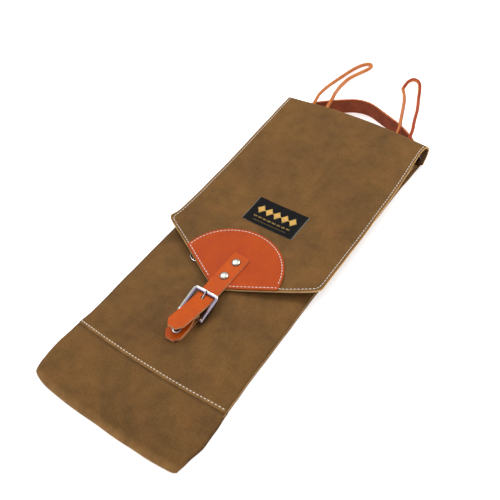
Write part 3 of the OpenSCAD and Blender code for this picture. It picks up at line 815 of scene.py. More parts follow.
def mouth_y(e):
    """The mouth's edge, which dips towards the gussets."""
    return MOUTH_Y - MOUTH_DIP * abs(e) ** 14


def front_point(u, v, lift):
    """The front panel, whose side edges turn down and in to meet the gussets."""
    over = 0.04
    inner = max(-1.0, min(1.0, u * (1 + over)))
    e = denser(inner)
    low = seam_y(e * HALF_W)
    y = low + (mouth_y(e) - low) * v
    half = HALF_W + edge_wobble(y, u)
    x = e * half
    z = front_z(e * HALF_W, y) + front_relief(e * HALF_W, y) + lift
    turn = max(0.0, abs(u) * (1 + over) - 1) / over
    x -= copysign(1.5 * turn ** 2, u)
    return x, y, z - 1.2 * turn


def front_wear_and_shade(u, v):
    """Rubbed edges, with painted shade along a line just inside them, beside the strap's tip and
    inside the buckle's frame under the strap.
    """
    edge = 0.8 * hump(1 - abs(u), 0.03)
    # painted shade along a line just inside the side edges
    painted_groove_shade = 0.35 * hump(0.93 - abs(u), 0.012)
    worn = max(edge, 0.7 * ease((v - 0.985) / 0.015), 0.6 * ease((0.011 - v) / 0.006))
    x, y = denser(u) * HALF_W, mix(BOOT_L, MOUTH_Y, v)
    # painted shade beside the strap's tip and inside the buckle, where the strap and buckle stand
    # over the canvas
    painted_shade_beside_tip = 0.2 * hump(x + 24, 15) * hump(y - 104, 13)
    painted_shade_in_buckle = 0.95 * hump(x - 11, 5.5) * hump(y - 137, 12)
    return worn - painted_groove_shade - painted_shade_beside_tip - painted_shade_in_buckle


def make_front():
    """The front panel, with its lower edge turned under along the boot seam."""
    def point(u, v):
        d = v * (MOUTH_Y - BOOT_L)
        ridge = hump(d - 0.8, 1.9) + 0.35 * hump(d, 8)
        valley = -0.3 * hump(d - 3.4, 1.0)
        tuck = -0.9 * max(0.0, 1 - d / 0.8) ** 2
        bead = 0.55 * hump(1 - min(1.0, abs(u) * 1.04), 0.012)
        return front_point(u, v, ridge + valley + tuck + bead + 0.3)
    front = cloth("case_front", point, 88, 150, CANVAS_T, [CANVAS, RAW_EDGE], front_wear_and_shade)
    stand_in(front, "case", "canvas", "front_panel")


def gusset_point(side, h, v):
    """A side wall, folded a little inwards; h goes from the back up to the front."""
    low = seam_y(HALF_W) - 2
    y = low + (MOUTH_Y + 9 - (MOUTH_DIP + 9) * h ** 1.3 - low) * v
    top = side_z(y) - 0.6
    bellows = (0.2 + 0.1 * ease((y - 200) / 120)) * (top - 1)
    x = HALF_W + edge_wobble(y, side) - 1.1 - bellows * sin(pi * h) ** 0.6
    x -= 1.6 * ease((y - 436) / 12)
    return side * x, y, mix(0.9, top, h)


def make_gusset(name, side):
    def point(u, v):
        return gusset_point(side, (side * u + 1) / 2, v)
    # rubbed top edge, and painted shade over the middle of the side wall (the negative part)
    gusset = cloth(name, point, 10, 120, CANVAS_T - 0.3, [CANVAS, RAW_EDGE],
                   lambda u, v: 0.8 * ease((v - 0.985) / 0.01) - 0.35 * (1 - u * u), rim=1)
    stand_in(gusset, "case", "canvas", name.replace("case_", ""))


def make_back():
    """The back panel, flat on the ground, with turned-up side edges."""
    def point(u, v):
        e = denser(u)
        low = seam_y(e * HALF_W) - 1
        y = low + (CASE_L - 0.2 - low) * v
        x = e * (HALF_W - 0.3 + edge_wobble(y, -u))
        lip = ease((abs(u) - 0.975) / 0.025)
        return -x, y, 0.05 + 0.9 * lip + 0.25 * abs(swell(x, y, 50, 21)) * (1 - lip)
    back = cloth("case_back", point, 64, 110, CANVAS_T - 0.2, [CANVAS, RAW_EDGE],
                 lambda u, v: 0.6 * ease((abs(u) - 0.96) / 0.04))
    stand_in(back, "case", "canvas", "back_panel")


def boot_relief(x, y):
    broad = 0.8 * swell(x, y, 48, 23) + 0.45 * swell(x, y, 21, 25)
    puckers = gathers(x, y - seam_y(x), 0.45, 10, 7, 27)
    hem = gathers(x, y - bottom_y(x), 0.35, 7, 9, 29)
    return (1 - outward(x) ** 6) * broad + puckers + hem


def make_boot():
    """The bottom end: one layer wrapped round front and back and closed along its edge."""
    columns, rows, side_rows = 72, 34, 5
    shape = Shape()
    tucked = 1.07

    def side_wall(edge, side, v):
        """The side wall from the edge of the top layer down, drawn in a little."""
        out = []
        for k in range(1, side_rows + 1):
            h = k / (side_rows + 1)
            pinch = 1.9 * sin(pi * h) ** 0.5 * min(1.0, v * 4)
            out.append(Vector((edge.x - side * pinch, edge.y, edge.z * (1 - h))))
        return out

    def front_at(e, v):
        x0 = e * HALF_W
        y = bottom_y(x0) + (seam_y(x0) - bottom_y(x0)) * v
        x = e * (taper(y) + edge_wobble(y, e))
        under = 1.0 * ease((v - 0.99) / 0.06)
        z = boot_z(x0, y) + boot_relief(x0, y) * min(1.0, v * 6) - under
        return Vector((x, y + 0.5 * swell(x, 9, 18, 31) * max(0.0, 1 - 5 * v), max(CLOSED_Z, z)))

    def ring(v):
        across = [denser(2 * i / columns - 1) for i in range(columns + 1)]
        top = [front_at(e, v) for e in across]
        under = [Vector((p.x, p.y, 0.1 + 0.35 * ease((abs(p.x) / HALF_W - 0.97) / 0.03)))
                 for p in reversed(top)]
        return top + side_wall(top[-1], 1, v) + under + side_wall(top[0], -1, v)[::-1]

    rings = []
    for j in range(rows + 1):
        v = (j / rows) ** 1.25 * tucked
        # rubbed nose at the bottom edge, and painted shade along the top, under the boot seam's
        # fold
        worn = 0.75 * max(0.0, 1 - v * 9) - 0.7 * ease((v - 0.975) / 0.03)
        rings.append([shape.add(place(p), (p.x * MM, p.y * MM), worn) for p in ring(v)])
    for a, b in zip(rings, rings[1:]):
        shape.bridge(a, b)
    close_bottom(shape, rings[0], columns, side_rows)
    boot = new_piece("case_boot", shape, [CANVAS, RAW_EDGE])
    thicken(boot, CANVAS_T - 0.2).modifiers["thickness"].use_even_offset = False
    soften(boot)
    stand_in(boot, "case", "canvas", "boot_panel")


def close_bottom(shape, ring, columns, side_rows):
    """Joins the front and back layers along the closed bottom edge with a rounded nose."""
    top = ring[:columns + 1]
    under = list(reversed(ring[columns + 1 + side_rows:2 * columns + 2 + side_rows]))
    nose = []
    for a, b in zip(top, under):
        middle = (shape.points[a] + shape.points[b]) / 2
        bulge = 1.1 * MM * (0.3 if a in (top[0], top[-1]) else 1.0)
        nose.append(shape.add(middle - Vector((0, bulge, 0)), shape.uv[a], 0.9))
    for k in range(columns):
        shape.face(top[k + 1], top[k], nose[k], nose[k + 1])
        shape.face(nose[k + 1], nose[k], under[k], under[k + 1])
    right = [top[-1]] + ring[columns + 1:columns + 1 + side_rows] + [under[-1]]
    shape.face(nose[-1], *right)
    left = [under[0]] + ring[2 * columns + 2 + side_rows:] + [top[0]]
    shape.face(nose[0], *left)


def make_hem():
    """The hem turned inside the mouth."""
    def point(u, v):
        e = denser(u) * 0.965
        y = mouth_y(e / 0.965) - 0.4 - HEM_W * (1 - v)
        x = e * HALF_W
        return x, y, front_z(x, y) + front_relief(x, y) + 0.3 - CANVAS_T - 0.15
    hem = cloth("mouth_hem_turned", point, 60, 8, CANVAS_T * 0.8, [CANVAS, RAW_EDGE],
                lambda u, v: 0.7 * ease((v - 0.8) / 0.2))
    stand_in(hem, "case", "canvas", "mouth_hem")


make_front()
make_gusset("case_left_gusset", -1)
make_gusset("case_right_gusset", 1)
make_back()
make_boot()
make_hem()


def up_normal(surface, x, y):
    """The upward normal of a surface z = surface(x, y)."""
    d = 0.8
    dx = (surface(x + d, y) - surface(x - d, y)) / (2 * d)
    dy = (surface(x, y + d) - surface(x, y - d)) / (2 * d)
    return Vector((-dx, -dy, 1)).normalized()


def on_front(x, y, lift=0.3):
    """A place lift above the front panel, and the panel's normal there."""
    z = front_z(x, y) + front_relief(x, y)
    drawn = 1 + edge_wobble(y, x / HALF_W) / HALF_W
    return (x * drawn, y, z + lift), up_normal(front_z, x, y)


def seam_line(inset, half):
    n = 120
    return [on_front(half * (2 * i / n - 1), seam_y(half * (2 * i / n - 1)) + inset, 0.62)
            for i in range(n + 1)]


sew("boot_seam_stitches", seam_line(3.2, HALF_W - 1.2))
sew("mouth_stitches", [on_front(x, mouth_y(x / HALF_W) - HEM_W + 3) for x in range(-86, 87, 2)])
for hand, side in (("left", -1), ("right", 1)):
    proud = Vector((side * 0.2, 0, 0))
    facing = Vector((side, 0, 0.3)).normalized()
    sew("gusset_tack_" + hand, [(Vector(gusset_point(side, h / 20, 0.993)) + proud, facing)
                                for h in range(19, 5, -1)])
sew("boot_back_stitches", [((x, seam_y(x) + 3.4, 0.0), Vector((0, 0, -1)))
                           for x in range(-88, 89, 2)])


# --- Flap ---

FOLD_BOW, FOLD_RISE = 5.0, 1.6
SPINE_L = HINGE_Z - 0.8


def flap_relief(x, y):
    broad = 0.9 * swell(x, y, 85, 41) + 0.45 * swell(x, y, 34, 43)
    drag = 0.3 * swell(x * 0.35 - y * 0.5, x * 0.1, 15, 45)
    rivets_y = 205
    still = 1 - hump(x, 40) * hump(y - rivets_y, 38)
    flutter = 0.7 * outward(x, FLAP_HALF_W) ** 4 * swell(x, y, 30, 47)
    return still * (broad + drag) + flutter


def flap_surface(x, y):
    return flap_z(x, y) + flap_relief(x, y)


def fold_bow(x):
    """How far the fold bows away from the case between its ends."""
    return 1 - outward(x, FLAP_HALF_W) ** 2


RIGHT_DRAW = [(290, 0.6), (370, -0.2), (380, -0.6), (404, -1.5), (428, -3.1), (444, -3.8),
              (452, -2.8)]


def edge_stray(x, y):
    """How far the flap's side edges stray from straight ones."""
    lug = 4.8 * hump(y - 217, 10) if x < 0 else through(RIGHT_DRAW, y)
    stray = (0.5 * swell(y, 0, 60, 49) + lug) * outward(x, FLAP_HALF_W) ** 6
    return stray if x > 0 else -stray


def bulged(x, y, z):
    """Where a point on the flap is, with the bow of the fold added near it."""
    near = ease((y - 330) / (HINGE_Y - 330))
    bow = fold_bow(x)
    rise = FOLD_RISE * bow + FOLD_R - TIGHT_R
    return x + edge_stray(x, y), y + FOLD_BOW * bow * near ** 2, z + rise * near


def rolled(x, a, r):
    """A place on the fold's roll, a up from level and r from its middle line."""
    up, bow = sin(a), fold_bow(x)
    return (x + edge_stray(x, HINGE_Y) * up ** 2, HINGE_Y + FOLD_BOW * bow + r * cos(a),
            HINGE_Z + (FOLD_RISE * bow + r + flap_relief(x, HINGE_Y)) * up)


def flap_point(u, v, depth=0.0, beyond=0.0):
    """One sheet from the flap's point, over the fold, down the spine; depth is below its face."""
    flap_share, roll_share = 0.84, 0.06
    e = denser(u)
    x = e * (FLAP_HALF_W + beyond)
    if v < flap_share:
        t = v / flap_share
        low = flap_edge_y(x) - beyond
        y = low + (HINGE_Y - low) * t
        return bulged(x, y, flap_surface(x, y) - depth)
    if v < flap_share + roll_share:
        return rolled(x, pi / 2 * (1 - (v - flap_share) / roll_share), FOLD_R - depth)
    t = (v - flap_share - roll_share) / (1 - flap_share - roll_share)
    narrow = mix(1.0, (HALF_W - 0.2) / FLAP_HALF_W, ease(t - 0.15))
    belly = (FOLD_BOW * fold_bow(x) + FOLD_R - TIGHT_R) * (1 - ease(t * 2.6))
    return x * narrow, CASE_L - depth + belly, HINGE_Z - SPINE_L * t


def over_the_fold(piece):
    """Bakes the placement of a piece that crosses the fold into its mesh."""
    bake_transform(piece)


def make_flap():
    """The flap's outer canvas and its lining, cut raw and sewn together round the edge."""
    def inner(u, v):
        return flap_point(u, v, CANVAS_T + LAYER_GAP, -0.3)

    # painted shade on the lining from near the fold down the spine
    def painted_fold_shade(u, v):
        return -0.5 * ease((v - 0.78) / 0.06)
    canvas = cloth("flap_outer", flap_point, 76, 140, CANVAS_T, [CANVAS, RAW_EDGE], flap_wear,
                   rim=1)
    over_the_fold(canvas)
    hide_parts("flap_canvas", "top_spine")
    lining = cloth("flap_inner", inner, 76, 140, LINING_T, [LINING, RAW_EDGE], painted_fold_shade, rim=1)
    over_the_fold(lining)
    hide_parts("flap_lining", "spine_lining")


def flap_wear(u, v):
    edge = max(hump(1 - abs(u), 0.03), hump(v, 0.005))
    return max(0.85 * edge, 0.4 * ease(1 - abs(v - 0.87) / 0.03))


def over_patch(x, y):
    """How far a thing on the flap is lifted by the leather patch under it."""
    inside = abs(x) < PATCH_HALF_W and y < patch_top_edge(x)
    return PATCH_T + 0.1 if inside else 0.0


def on_flap(x, y):
    """A place on the flap, on top of the patch where that lies under it, and its normal."""
    z = flap_surface(x, y) + over_patch(x, y)
    return bulged(x, y, z), up_normal(flap_z, x, y)


def over_fold(x, angle):
    """A place on the fold's outer face, angle degrees up from level, and its normal."""
    a = radians(angle)
    return rolled(x, a, FOLD_R), (0, cos(a), sin(a))


def flap_rim():
    """The row of stitches just inside the flap's edge, from fold to fold."""
    inset, slope = 3.2, 0.53
    x0 = FLAP_HALF_W - inset
    drop = inset / cos(atan(slope))
    angles = (50, 60, 70, 80)
    left = [over_fold(-x0, a) for a in angles]
    left += [on_flap(-x0, y) for y in range(int(HINGE_Y) - 1, int(FLAP_CORNER_Y) + 8, -3)]
    along = [-x0 + 1, -x0 + 2.5] + list(range(-88, -10, 2))
    v_left = [on_flap(x, flap_edge_y(x) + drop) for x in along]
    v_right = [on_flap(-x, flap_edge_y(x) + drop) for x in reversed(along)]
    right = [on_flap(x0, y) for y in range(int(FLAP_CORNER_Y) + 10, int(HINGE_Y) - 1, 3)]
    return left + v_left, v_right + right + [over_fold(x0, a) for a in reversed(angles)]


def patch_arc():
    """The row of stitches inside the patch's round edge, down to the rows along the point."""
    inset, n = 2.4, 90
    r = patch_radius()
    line = []
    for i in range(n + 1):
        a = pi * (1 - i / n)
        x, y = (r - inset) * cos(a), PATCH_TOP_Y - r + (r - inset) * sin(a)
        if y > flap_edge_y(x) + 3.6:
            line.append(on_flap(x, y))
    return line


make_flap()
for hand, line in zip(("left", "right"), flap_rim()):
    over_the_fold(sew("flap_stitches_" + hand, line, None))
sew("patch_stitches", patch_arc(), "flap")


# --- Leather patch, straps and label ---

def make_patch():
    """The leather patch under the closure strap."""
    def point(u, v):
        x = sin(u * pi / 2) * PATCH_HALF_W
        low, high = flap_edge_y(x) + 0.8, patch_top_edge(x)
        y = low + (high - low) * v
        return x, y, flap_surface(x, y) + 0.08

    def rubbed(u, v):
        return 0.5 * max(ease((abs(u) - 0.94) / 0.06), ease((abs(v - 0.5) - 0.47) / 0.03))
    patch = panel("patch", [PATCH, PATCH_EDGE], point, 64, 36, rubbed)
    thicken(patch, PATCH_T, 1.0, rim=1)
    ease_edges(patch, 0.45)
    stand_in(patch, "flap", "patch_leather", "flap_patch")


def strap_lean(y):
    """How far the closure strap leans to the right of the middle, above its tip."""
    return STRAP_LEAN * ease((y - 98) / 45)


def strap_grid(shape, path, half_w, tip, lean=lambda y: 0.0, rows_across=10, slot=None):
    """A strap about the centre line path, (along, height) pairs, pointed at its last end.
    slot(x, y) says where it is cut away."""
    total = path_length(path)
    runs = [0.0]
    for a, b in zip(path, path[1:]):
        runs.append(runs[-1] + (b - a).length)

    def point(u, v):
        s = v * total
        k = max(i for i in range(len(runs)) if runs[i] <= s + 1e-9)
        k = min(k, len(path) - 2)
        q = path[k].lerp(path[k + 1], (s - runs[k]) / (runs[k + 1] - runs[k]))
        left = total - s
        half = half_w if left > tip else mix(TIP_HALF_W, half_w, left / tip)
        return u * half + lean(q.x), q.x, q.y
    grid(shape, lambda u, v: point(-u, v), rows_across, int(total / 1.1),
         lambda u, v: 0.6 * ease((abs(u) - 0.85) / 0.15),
         slot and (lambda u, v: slot(*point(-u, v)[:2])))


def punch_hole(piece, centre, axis, r, depth):
    """Punches a round hole and keeps the result as the piece's mesh."""
    shape = Shape()
    lathe(shape, place(centre), axis, [(0, -depth), (r, -depth), (r, depth), (0, depth)], 24)
    cutter = new_piece("punch", shape, [PAINTED_SHADE_HOLE])
    m = piece.modifiers.new("hole", "BOOLEAN")
    m.operation, m.object, m.solver = "DIFFERENCE", cutter, "EXACT"
    bpy.context.view_layer.update()
    depsgraph = bpy.context.evaluated_depsgraph_get()
    mesh = bpy.data.meshes.new_from_object(piece.evaluated_get(depsgraph))
    piece.modifiers.clear()
    piece.data = mesh
    bpy.data.objects.remove(cutter)


# painted shade: the punched hole's wall is near-black, darker than the strap's pale cut edges
PAINTED_SHADE_HOLE = flesh_finish("hole_wall_painted_shade", rgb(74, 34, 20), rgb(40, 18, 12))
PRONG_REACH = 26.0  # from the heel bar to where the prong lies on the far rail
PRONG_TILT = BUCKLE_TILT + asin((BUCKLE_T / 2 + 1.2) / PRONG_REACH)
PRONG_WAY = Vector((0, cos(PRONG_TILT), sin(PRONG_TILT)))


def prong_at(t):
    """A point along the prong, which sags a little between the heel bar and its tip."""
    along = Vector((BUCKLE_LEAN, HEEL_Y, HEEL_Z)) + PRONG_WAY * mix(2.6, BUCKLE_L - 0.6, t)
    return along - Vector((0, 0, 2.5 * sin(pi * t)))


def make_closure_strap():
    """The strap riveted to the patch, which goes through the buckle and rises to its tip."""
    path = curve_through([
        (216.5, STRAP_Z), (195, STRAP_Z), (178, STRAP_Z), (170, STRAP_Z), (163, STRAP_Z),
        (156, STRAP_Z + 0.4), (148, 20.5), (140, 22), (131, 23.4), (118, 25), (104.5, 26.6)], 8)
    shape = Shape()
    strap_grid(shape, path, STRAP_HALF_W, TIP_L, strap_lean)
    strap = new_piece("strap", shape, [STRAP, STRAP_BACK, CUT_LEATHER, PAINTED_SHADE_HOLE])
    thicken(strap, STRAP_T, 0.0, back=1, rim=2)
    punch_hole(strap, prong_at(0.68), (0, 0.64, 0.77), 1.9, 5)
    ease_edges(strap, 0.4)
    stand_in(strap, "flap", "strap_leather", "closure_strap")


def make_chape():
    """The leather tab folded round the buckle's heel bar."""
    tip_y = 98
    low_z = FRONT_Z + 0.1 + CHAPE_T / 2
    high_z = low_z + CHAPE_T + 0.05
    reach = BAR_R + 0.1 + CHAPE_T / 2
    turn = [(HEEL_Y + reach * cos(a), HEEL_Z + reach * sin(a))
            for a in (-1.5, -0.9, -0.3, 0.3, 0.9, 1.5)]
    lower = [(98.3, low_z), (112, low_z), (122, low_z), (126.5, low_z + 0.2)]
    upper = [(126, HEEL_Z + 2.1), (121, high_z + 1), (116, high_z), (110, high_z),
             (tip_y, high_z)]
    path = curve_through(lower + turn + upper, 6)
    shape = Shape()
    strap_grid(shape, path, STRAP_HALF_W, TIP_L, rows_across=14,
               slot=lambda x, y: abs(x - BUCKLE_LEAN) < 2.6 and y > HEEL_Y - 7.5)
    for p in shape.points:  # the lower end, hidden under the upper one, is pointed too
        y = p.y / MM + MID_Y
        if y < tip_y + TIP_L:
            limit = mix(TIP_HALF_W, STRAP_HALF_W, max(0.0, (y - tip_y) / TIP_L)) * MM
            p.x = copysign(min(abs(p.x), limit), p.x)
    chape = new_piece("chape", shape, [STRAP, STRAP_BACK, CUT_LEATHER])
    thicken(chape, CHAPE_T, 0.0, back=1, rim=2)
    ease_edges(chape, 0.35)
    stand_in(chape, "case", "strap_leather", "buckle_chape")


def make_label():
    """The woven label, with a plain geometric motif in gold thread."""
    def point(u, v):
        x, y = u * (LABEL_HALF_W + 1.3), LABEL_Y - 0.8 + (LABEL_L + 1.6) * v
        pucker = 0.25 * abs(swell(x, y, 14, 61))
        edge = max(abs(u), abs(2 * v - 1))
        return x, y, flap_surface(x, y) + 0.12 + 0.5 * (1 - ease((edge - 0.93) / 0.07)) + pucker
    label = panel("label", [LABEL, LABEL_EDGE], point, 60, 26,
                  lambda u, v: 0.8 * ease((abs(u) - 0.955) / 0.045))
    thicken(label, 0.45, 1.0, rim=1)
    soften(label)
    stand_in(label, "flap", "label", "woven_label")
    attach(make_motif(point), "flap")


def make_motif(surface):
    """A row of gold lozenges, a row of short bars and a fine dotted line, in satin stitch."""
    shape = Shape()

    def satin(x, y, half):
        """One upright thread of the filling."""
        u, v = x / LABEL_HALF_W, (y - LABEL_Y) / LABEL_L
        r = 0.27
        ends = [Vector(surface(u, v + s * half / LABEL_L)) + Vector((0, 0, 0.55))
                for s in (-1, -0.75, 0, 0.75, 1)]
        widths, lifts = (0.35, 0.9, 1.0, 0.9, 0.35), (-0.25, 0.0, 0.08, 0.0, -0.25)
        rings = [[shape.add(place(c + Vector((x, 0, z + lift))))
                  for x, z in round_section(r * width, 6)]
                 for c, width, lift in zip(ends, widths, lifts)]
        for p, q in zip(rings, rings[1:]):
            shape.bridge(p, q)

    middle = LABEL_Y + LABEL_L * 0.58
    wide, tall, n = 4.5, 6.4, 17
    for k in range(-2, 3):
        for i in range(n):
            t = 2 * i / (n - 1) - 1
            satin(k * 9.8 + t * wide, middle, max(0.5, tall * (1 - abs(t))))
    for k in range(-15, 16):
        if k % 4:
            satin(k * 1.45, LABEL_Y + LABEL_L * 0.27, 1.1)
    for k in range(-19, 20):
        satin(k * 1.04, LABEL_Y + LABEL_L * 0.13, 0.14)
    return new_piece("label_motif", shape, [GOLD])


make_patch()
make_closure_strap()
make_chape()
make_label()


# --- Rivets, eyelets, buckle and ring ---

def metal(name, shape, body, *nodes, material=NICKEL):
    return stand_in(new_piece(name, shape, [material]), body, "nickel", *nodes)


def rivets(name, node, body, places, axis, height, material=NICKEL):
    shape = Shape()
    for p in places:
        dome(shape, place(p), axis, CAP_R, height)
    metal(name, shape, body, node, material=material)


def make_rivets():
    """The caps and the backs of all rivets."""
    up, down = (0, 0, 1), (0, 0, -1)
    strap_top = STRAP_Z + STRAP_T / 2
    flap_under = FLAP_MID_Z - CANVAS_T - 0.1 - LINING_T
    low, high = box_mm("strap_rivets")
    ys = [low.y + MID_Y + CAP_R - 1, high.y + MID_Y - CAP_R - 1]
    rivets("strap_rivet_caps", "strap_rivets", "flap", [(STRAP_LEAN, y, strap_top) for y in ys],
           up, 1.9, NICKEL_CAP)
    rivets("strap_rivet_undersides", "strap_rivet_backs", "flap",
           [(STRAP_LEAN, y, flap_under) for y in ys], down, 1.0)

    low, high = box_mm("chape_rivet")
    y = (low.y + high.y) / 2 + MID_Y
    rivets("chape_rivet_cap", "chape_rivet", "case", [(0, y, high.z - 1.6)], up, 1.8)
    rivets("chape_rivet_underside", "chape_rivet_back", "case", [(0, y, FRONT_Z - CANVAS_T)],
           down, 1)

    outer_y, inner_y = CASE_L + HANDLE_T + 0.1, CASE_L - CANVAS_T - LINING_T - 0.3
    rivets("handle_rivet_caps", "handle_rivets", "case",
           [(x, outer_y, HANDLE_MID_Z) for x in RIVETS_X], (0, 1, 0), 1.7)
    rivets("handle_rivet_undersides", "handle_rivet_backs", "case",
           [(x, inner_y, HANDLE_MID_Z) for x in RIVETS_X], (0, -1, 0), 1)


def make_eyelets():
    shape = Shape()
    ring = [(2.35, -1.8), (2.35, 0.1), (2.6, 0.5), (3.2, 0.72), (3.8, 0.5), (4.15, 0.05),
            (3.0, 0.0), (2.7, -1.8), (2.35, -1.8)]
    for x in EYELETS_X:
        lathe(shape, place((x, CASE_L, EYELET_Z)), (0, 1, 0), ring, 32)
    metal("eyelet_rings", shape, "case", "lace_eyelets")


def tilted(x, along):
    """A point in the buckle's flat: x across, and along from its heel bar."""
    return place((x + BUCKLE_LEAN, HEEL_Y + along * cos(BUCKLE_TILT),
                  HEEL_Z + along * sin(BUCKLE_TILT)))


def make_buckle():
    """A heel-bar buckle: a rounded frame with a softly squared section."""
    half, far, r = BUCKLE_HALF_W - RAIL_W / 2, BUCKLE_L - RAIL_W / 2, 2.6
    route = [(-half, -2.0), (-half, 4), (-half, 12), (-half, far - r)]
    route += [(-half + r - r * cos(a), far - r + r * sin(a))
              for a in (pi * k / 16 for k in range(1, 8))]
    route += [(-half + r, far), (-half / 2, far), (0, far)]
    route += [(-x, y) for x, y in reversed(route[:-1])]
    shape = Shape()
    normal = Vector((0, -sin(BUCKLE_TILT), cos(BUCKLE_TILT)))
    w, t, chamfer = RAIL_W / 2, BUCKLE_T / 2, 1.05
    corners = [(w, 0.3 * t), (w - 1.5, t), (0.7 - w, t), (-w, 0.6 * t), (-w, -0.6 * t),
               (chamfer - w, -t), (w - chamfer, -t), (w, -0.6 * t)]
    sides = len(corners)
    section = [(x * MM, y * MM) for x, y in corners]
    sweep(shape, [tilted(x, y) for x, y in route], section, up=normal)
    bar = [tilted(x, 0) for x in (-half - 0.6, 0, half + 0.6)]
    sweep(shape, bar, round_section(BAR_R * MM, 20))
    frame_piece = metal("buckle_ring", shape, "buckle", "buckle_frame")
    # painted reflection: the rails' inner bevels and sides, and the right rail's top, get the
    # darker purple-grey nickel
    frame_piece.data.materials.append(NICKEL_PAINTED_REFLECTION)
    for i, polygon in enumerate(frame_piece.data.polygons):
        right_rail = len(route) - 5 <= i // sides < len(route) - 1
        painted_reflection_faces = (1, 7) if right_rail else (0, 7)
        if i < sides * (len(route) - 1) and i % sides in painted_reflection_faces:
            polygon.material_index = 1
    ease_edges(frame_piece, 0.3)


def make_prong():
    """The prong: an eye round the heel bar and a tapered tongue."""
    shape = Shape()
    profile = [(1.9, -2.1), (2.9, -2.1), (3.2, -1.8), (3.3, 0), (3.2, 1.8), (2.9, 2.1),
               (1.9, 2.1), (1.9, -2.1)]
    lathe(shape, place((BUCKLE_LEAN, HEEL_Y, HEEL_Z)), (1, 0, 0), profile, 40)
    n = 24
    path = [place(prong_at(k / n)) for k in range(n + 1)]
    sweep(shape, path, round_section(1.0 * MM, 16), size=lambda t: 1.0 - 0.25 * t ** 2)
    metal("prong", shape, "prong", "buckle_prong")


def make_ring():
    """The D-ring's wire, bent to a straight bar and an arc."""
    low, high = box_mm("d_ring")
    wire = (high.z - low.z) / 2
    middle, z = (low.x + high.x) / 2, (low.z + high.z) / 2
    bar_y = JOINTS["ring_swing"].y + MID_Y
    r = (high.x - low.x) / 2 - wire
    arc_y = low.y + MID_Y + r + wire
    route = [(-r, bar_y), (-r * 0.5, bar_y), (0, bar_y), (r * 0.5, bar_y), (r, bar_y)]
    route += [(r * cos(a), arc_y - r * sin(a))
              for a in (pi * k / 24 for k in range(25))]
    shape = Shape()
    path = [place((middle + x, y, z)) for x, y in route]
    sweep(shape, path, round_section(wire * 0.85 * MM, 14), closed=True)
    metal("d_ring_wire", shape, "ring", "d_ring")


def make_tab():
    """The tape that holds the D-ring, sewn to the front."""
    low, high = box_mm("d_ring_tab")
    middle, half = (low.x + high.x) / 2, (high.x - low.x) / 2
    bar_y, z = JOINTS["ring_swing"].y + MID_Y, JOINTS["ring_swing"].z
    r, base = 1.1, FRONT_Z + 0.3
    turn = [(bar_y - r * sin(a), z - r * cos(a)) for a in (0.2, 0.9, 1.6, 2.2, 2.9)]
    path = curve_through([(215, base), (208, base), (203.5, base + 0.1)] + turn
                         + [(204, z + 0.6), (207.5, base + 0.5), (215, base + 0.45)], 5)
    n = len(path) - 1

    def point(u, v):
        q = path[int(round(v * n))]
        return middle + u * half, q.x, q.y
    tab = panel("ring_tape", [TAPE, RAW_EDGE], point, 8, n)
    thicken(tab, 0.35, 0.0, rim=1)
    stand_in(tab, "case", "canvas", "d_ring_tab")


make_rivets()
make_eyelets()
make_buckle()
make_prong()
make_ring()
make_tab()


# --- Handle ---

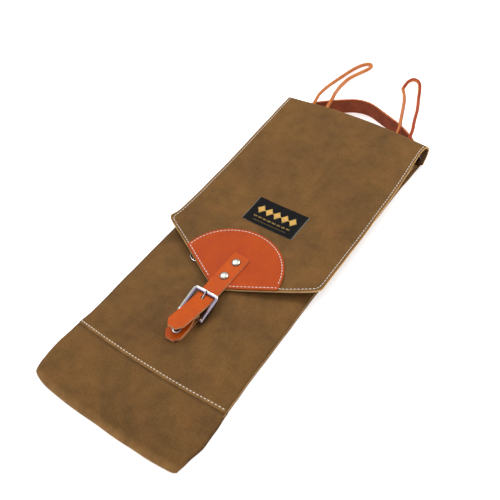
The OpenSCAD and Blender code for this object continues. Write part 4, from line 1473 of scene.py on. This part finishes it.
def make_handle():
    """One leather strap on its edge, riveted at both ends and bowed out behind the fold."""
    tab_y = CASE_L + HANDLE_T / 2 + 0.05
    apex_y = box_mm("handle_grip")[1].y + MID_Y - HANDLE_T / 2
    route = [(-88.5, tab_y), (-84.5, tab_y), (-80.5, tab_y), (-77.5, tab_y + 0.8), (-74.5, 461.5),
             (-71, 467), (-64, 474.5), (-51, 485), (-32, 498), (-22, 502.4), (-12, apex_y),
             (-2, 502.4), (18, 495), (32, 489.5), (44, 484.3), (58, 476), (68, 468.5),
             (74, 461.5), (77.5, tab_y + 0.8), (80.5, tab_y), (84.5, tab_y), (88.5, tab_y)]
    path = curve_through(route, 5)
    n = len(path) - 1
    half_h = (HANDLE_HIGH - HANDLE_LOW) / 2

    def point(u, v):
        p = path[int(round(v * n))]
        end = min(1.0, (min(v, 1 - v) * n + 0.8) / 2.5)
        return p.x, p.y, HANDLE_MID_Z + u * half_h * (0.93 + 0.07 * end)
    handle = panel("handle_strap", [HANDLE_OUT, HANDLE_IN, HANDLE_EDGE], point, 10, n,
                   lambda u, v: 0.5 * ease((abs(u) - 0.8) / 0.2))
    thicken(handle, HANDLE_T, 0.0, back=1, rim=2)
    ease_edges(handle, 0.45)
    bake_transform(handle)
    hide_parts("handle_ends", "handle_grip")


make_handle()


# --- Floor and light ---

def make_floor():
    shape = Shape()
    r = 6.0
    shape.face(*[shape.add(Vector((x, y, -0.0002)))
                 for x, y in ((-r, -r), (r, -r), (r, r), (-r, r))])
    f = Finish("floor", 0.9, specular=0.1)
    f.set("Base Color", (0.9, 0.9, 0.9, 1))
    f.set("Emission Color", (1, 1, 1, 1))
    f.set("Emission Strength", 0.55)
    floor = new_piece("floor", shape, [f.material])


def area_light(name, where, size, power):
    """A round lamp aimed at the middle of the case."""
    data = bpy.data.lights.new(name, "AREA")
    data.shape, data.size, data.energy = "DISK", size, power
    light = bpy.data.objects.new(name, data)
    light.location = where
    light.rotation_euler = (-Vector(where)).to_track_quat("-Z", "Y").to_euler()
    bpy.context.scene.collection.objects.link(light)


def make_world():
    """A soft studio: bright overhead and greyer towards the horizon."""
    world = bpy.data.worlds.new("studio")
    bpy.context.scene.world = world
    world.use_nodes = True
    tree = world.node_tree
    background = tree.nodes["Background"]
    where = tree.nodes.new("ShaderNodeTexCoord")
    split = tree.nodes.new("ShaderNodeSeparateXYZ")
    ramp = tree.nodes.new("ShaderNodeMapRange")
    tree.links.new(where.outputs["Generated"], split.inputs[0])
    tree.links.new(split.outputs[2], ramp.inputs["Value"])
    for socket, value in (("From Min", 0.12), ("From Max", 0.6), ("To Min", 0.2),
                          ("To Max", 0.66)):
        ramp.inputs[socket].default_value = value
    background.inputs["Color"].default_value = (1, 1, 1, 1)
    tree.links.new(ramp.outputs[0], background.inputs["Strength"])


make_floor()
make_world()
area_light("key", (0.3, 1.0, 1.35), size=0.8, power=10.3)
area_light("top", (-0.72, 0.42, 1.3), size=0.5, power=5)
area_light("fill", (-0.9, -0.7, 1.2), size=1.2, power=3)
bpy.context.scene.view_settings.view_transform = "Standard"
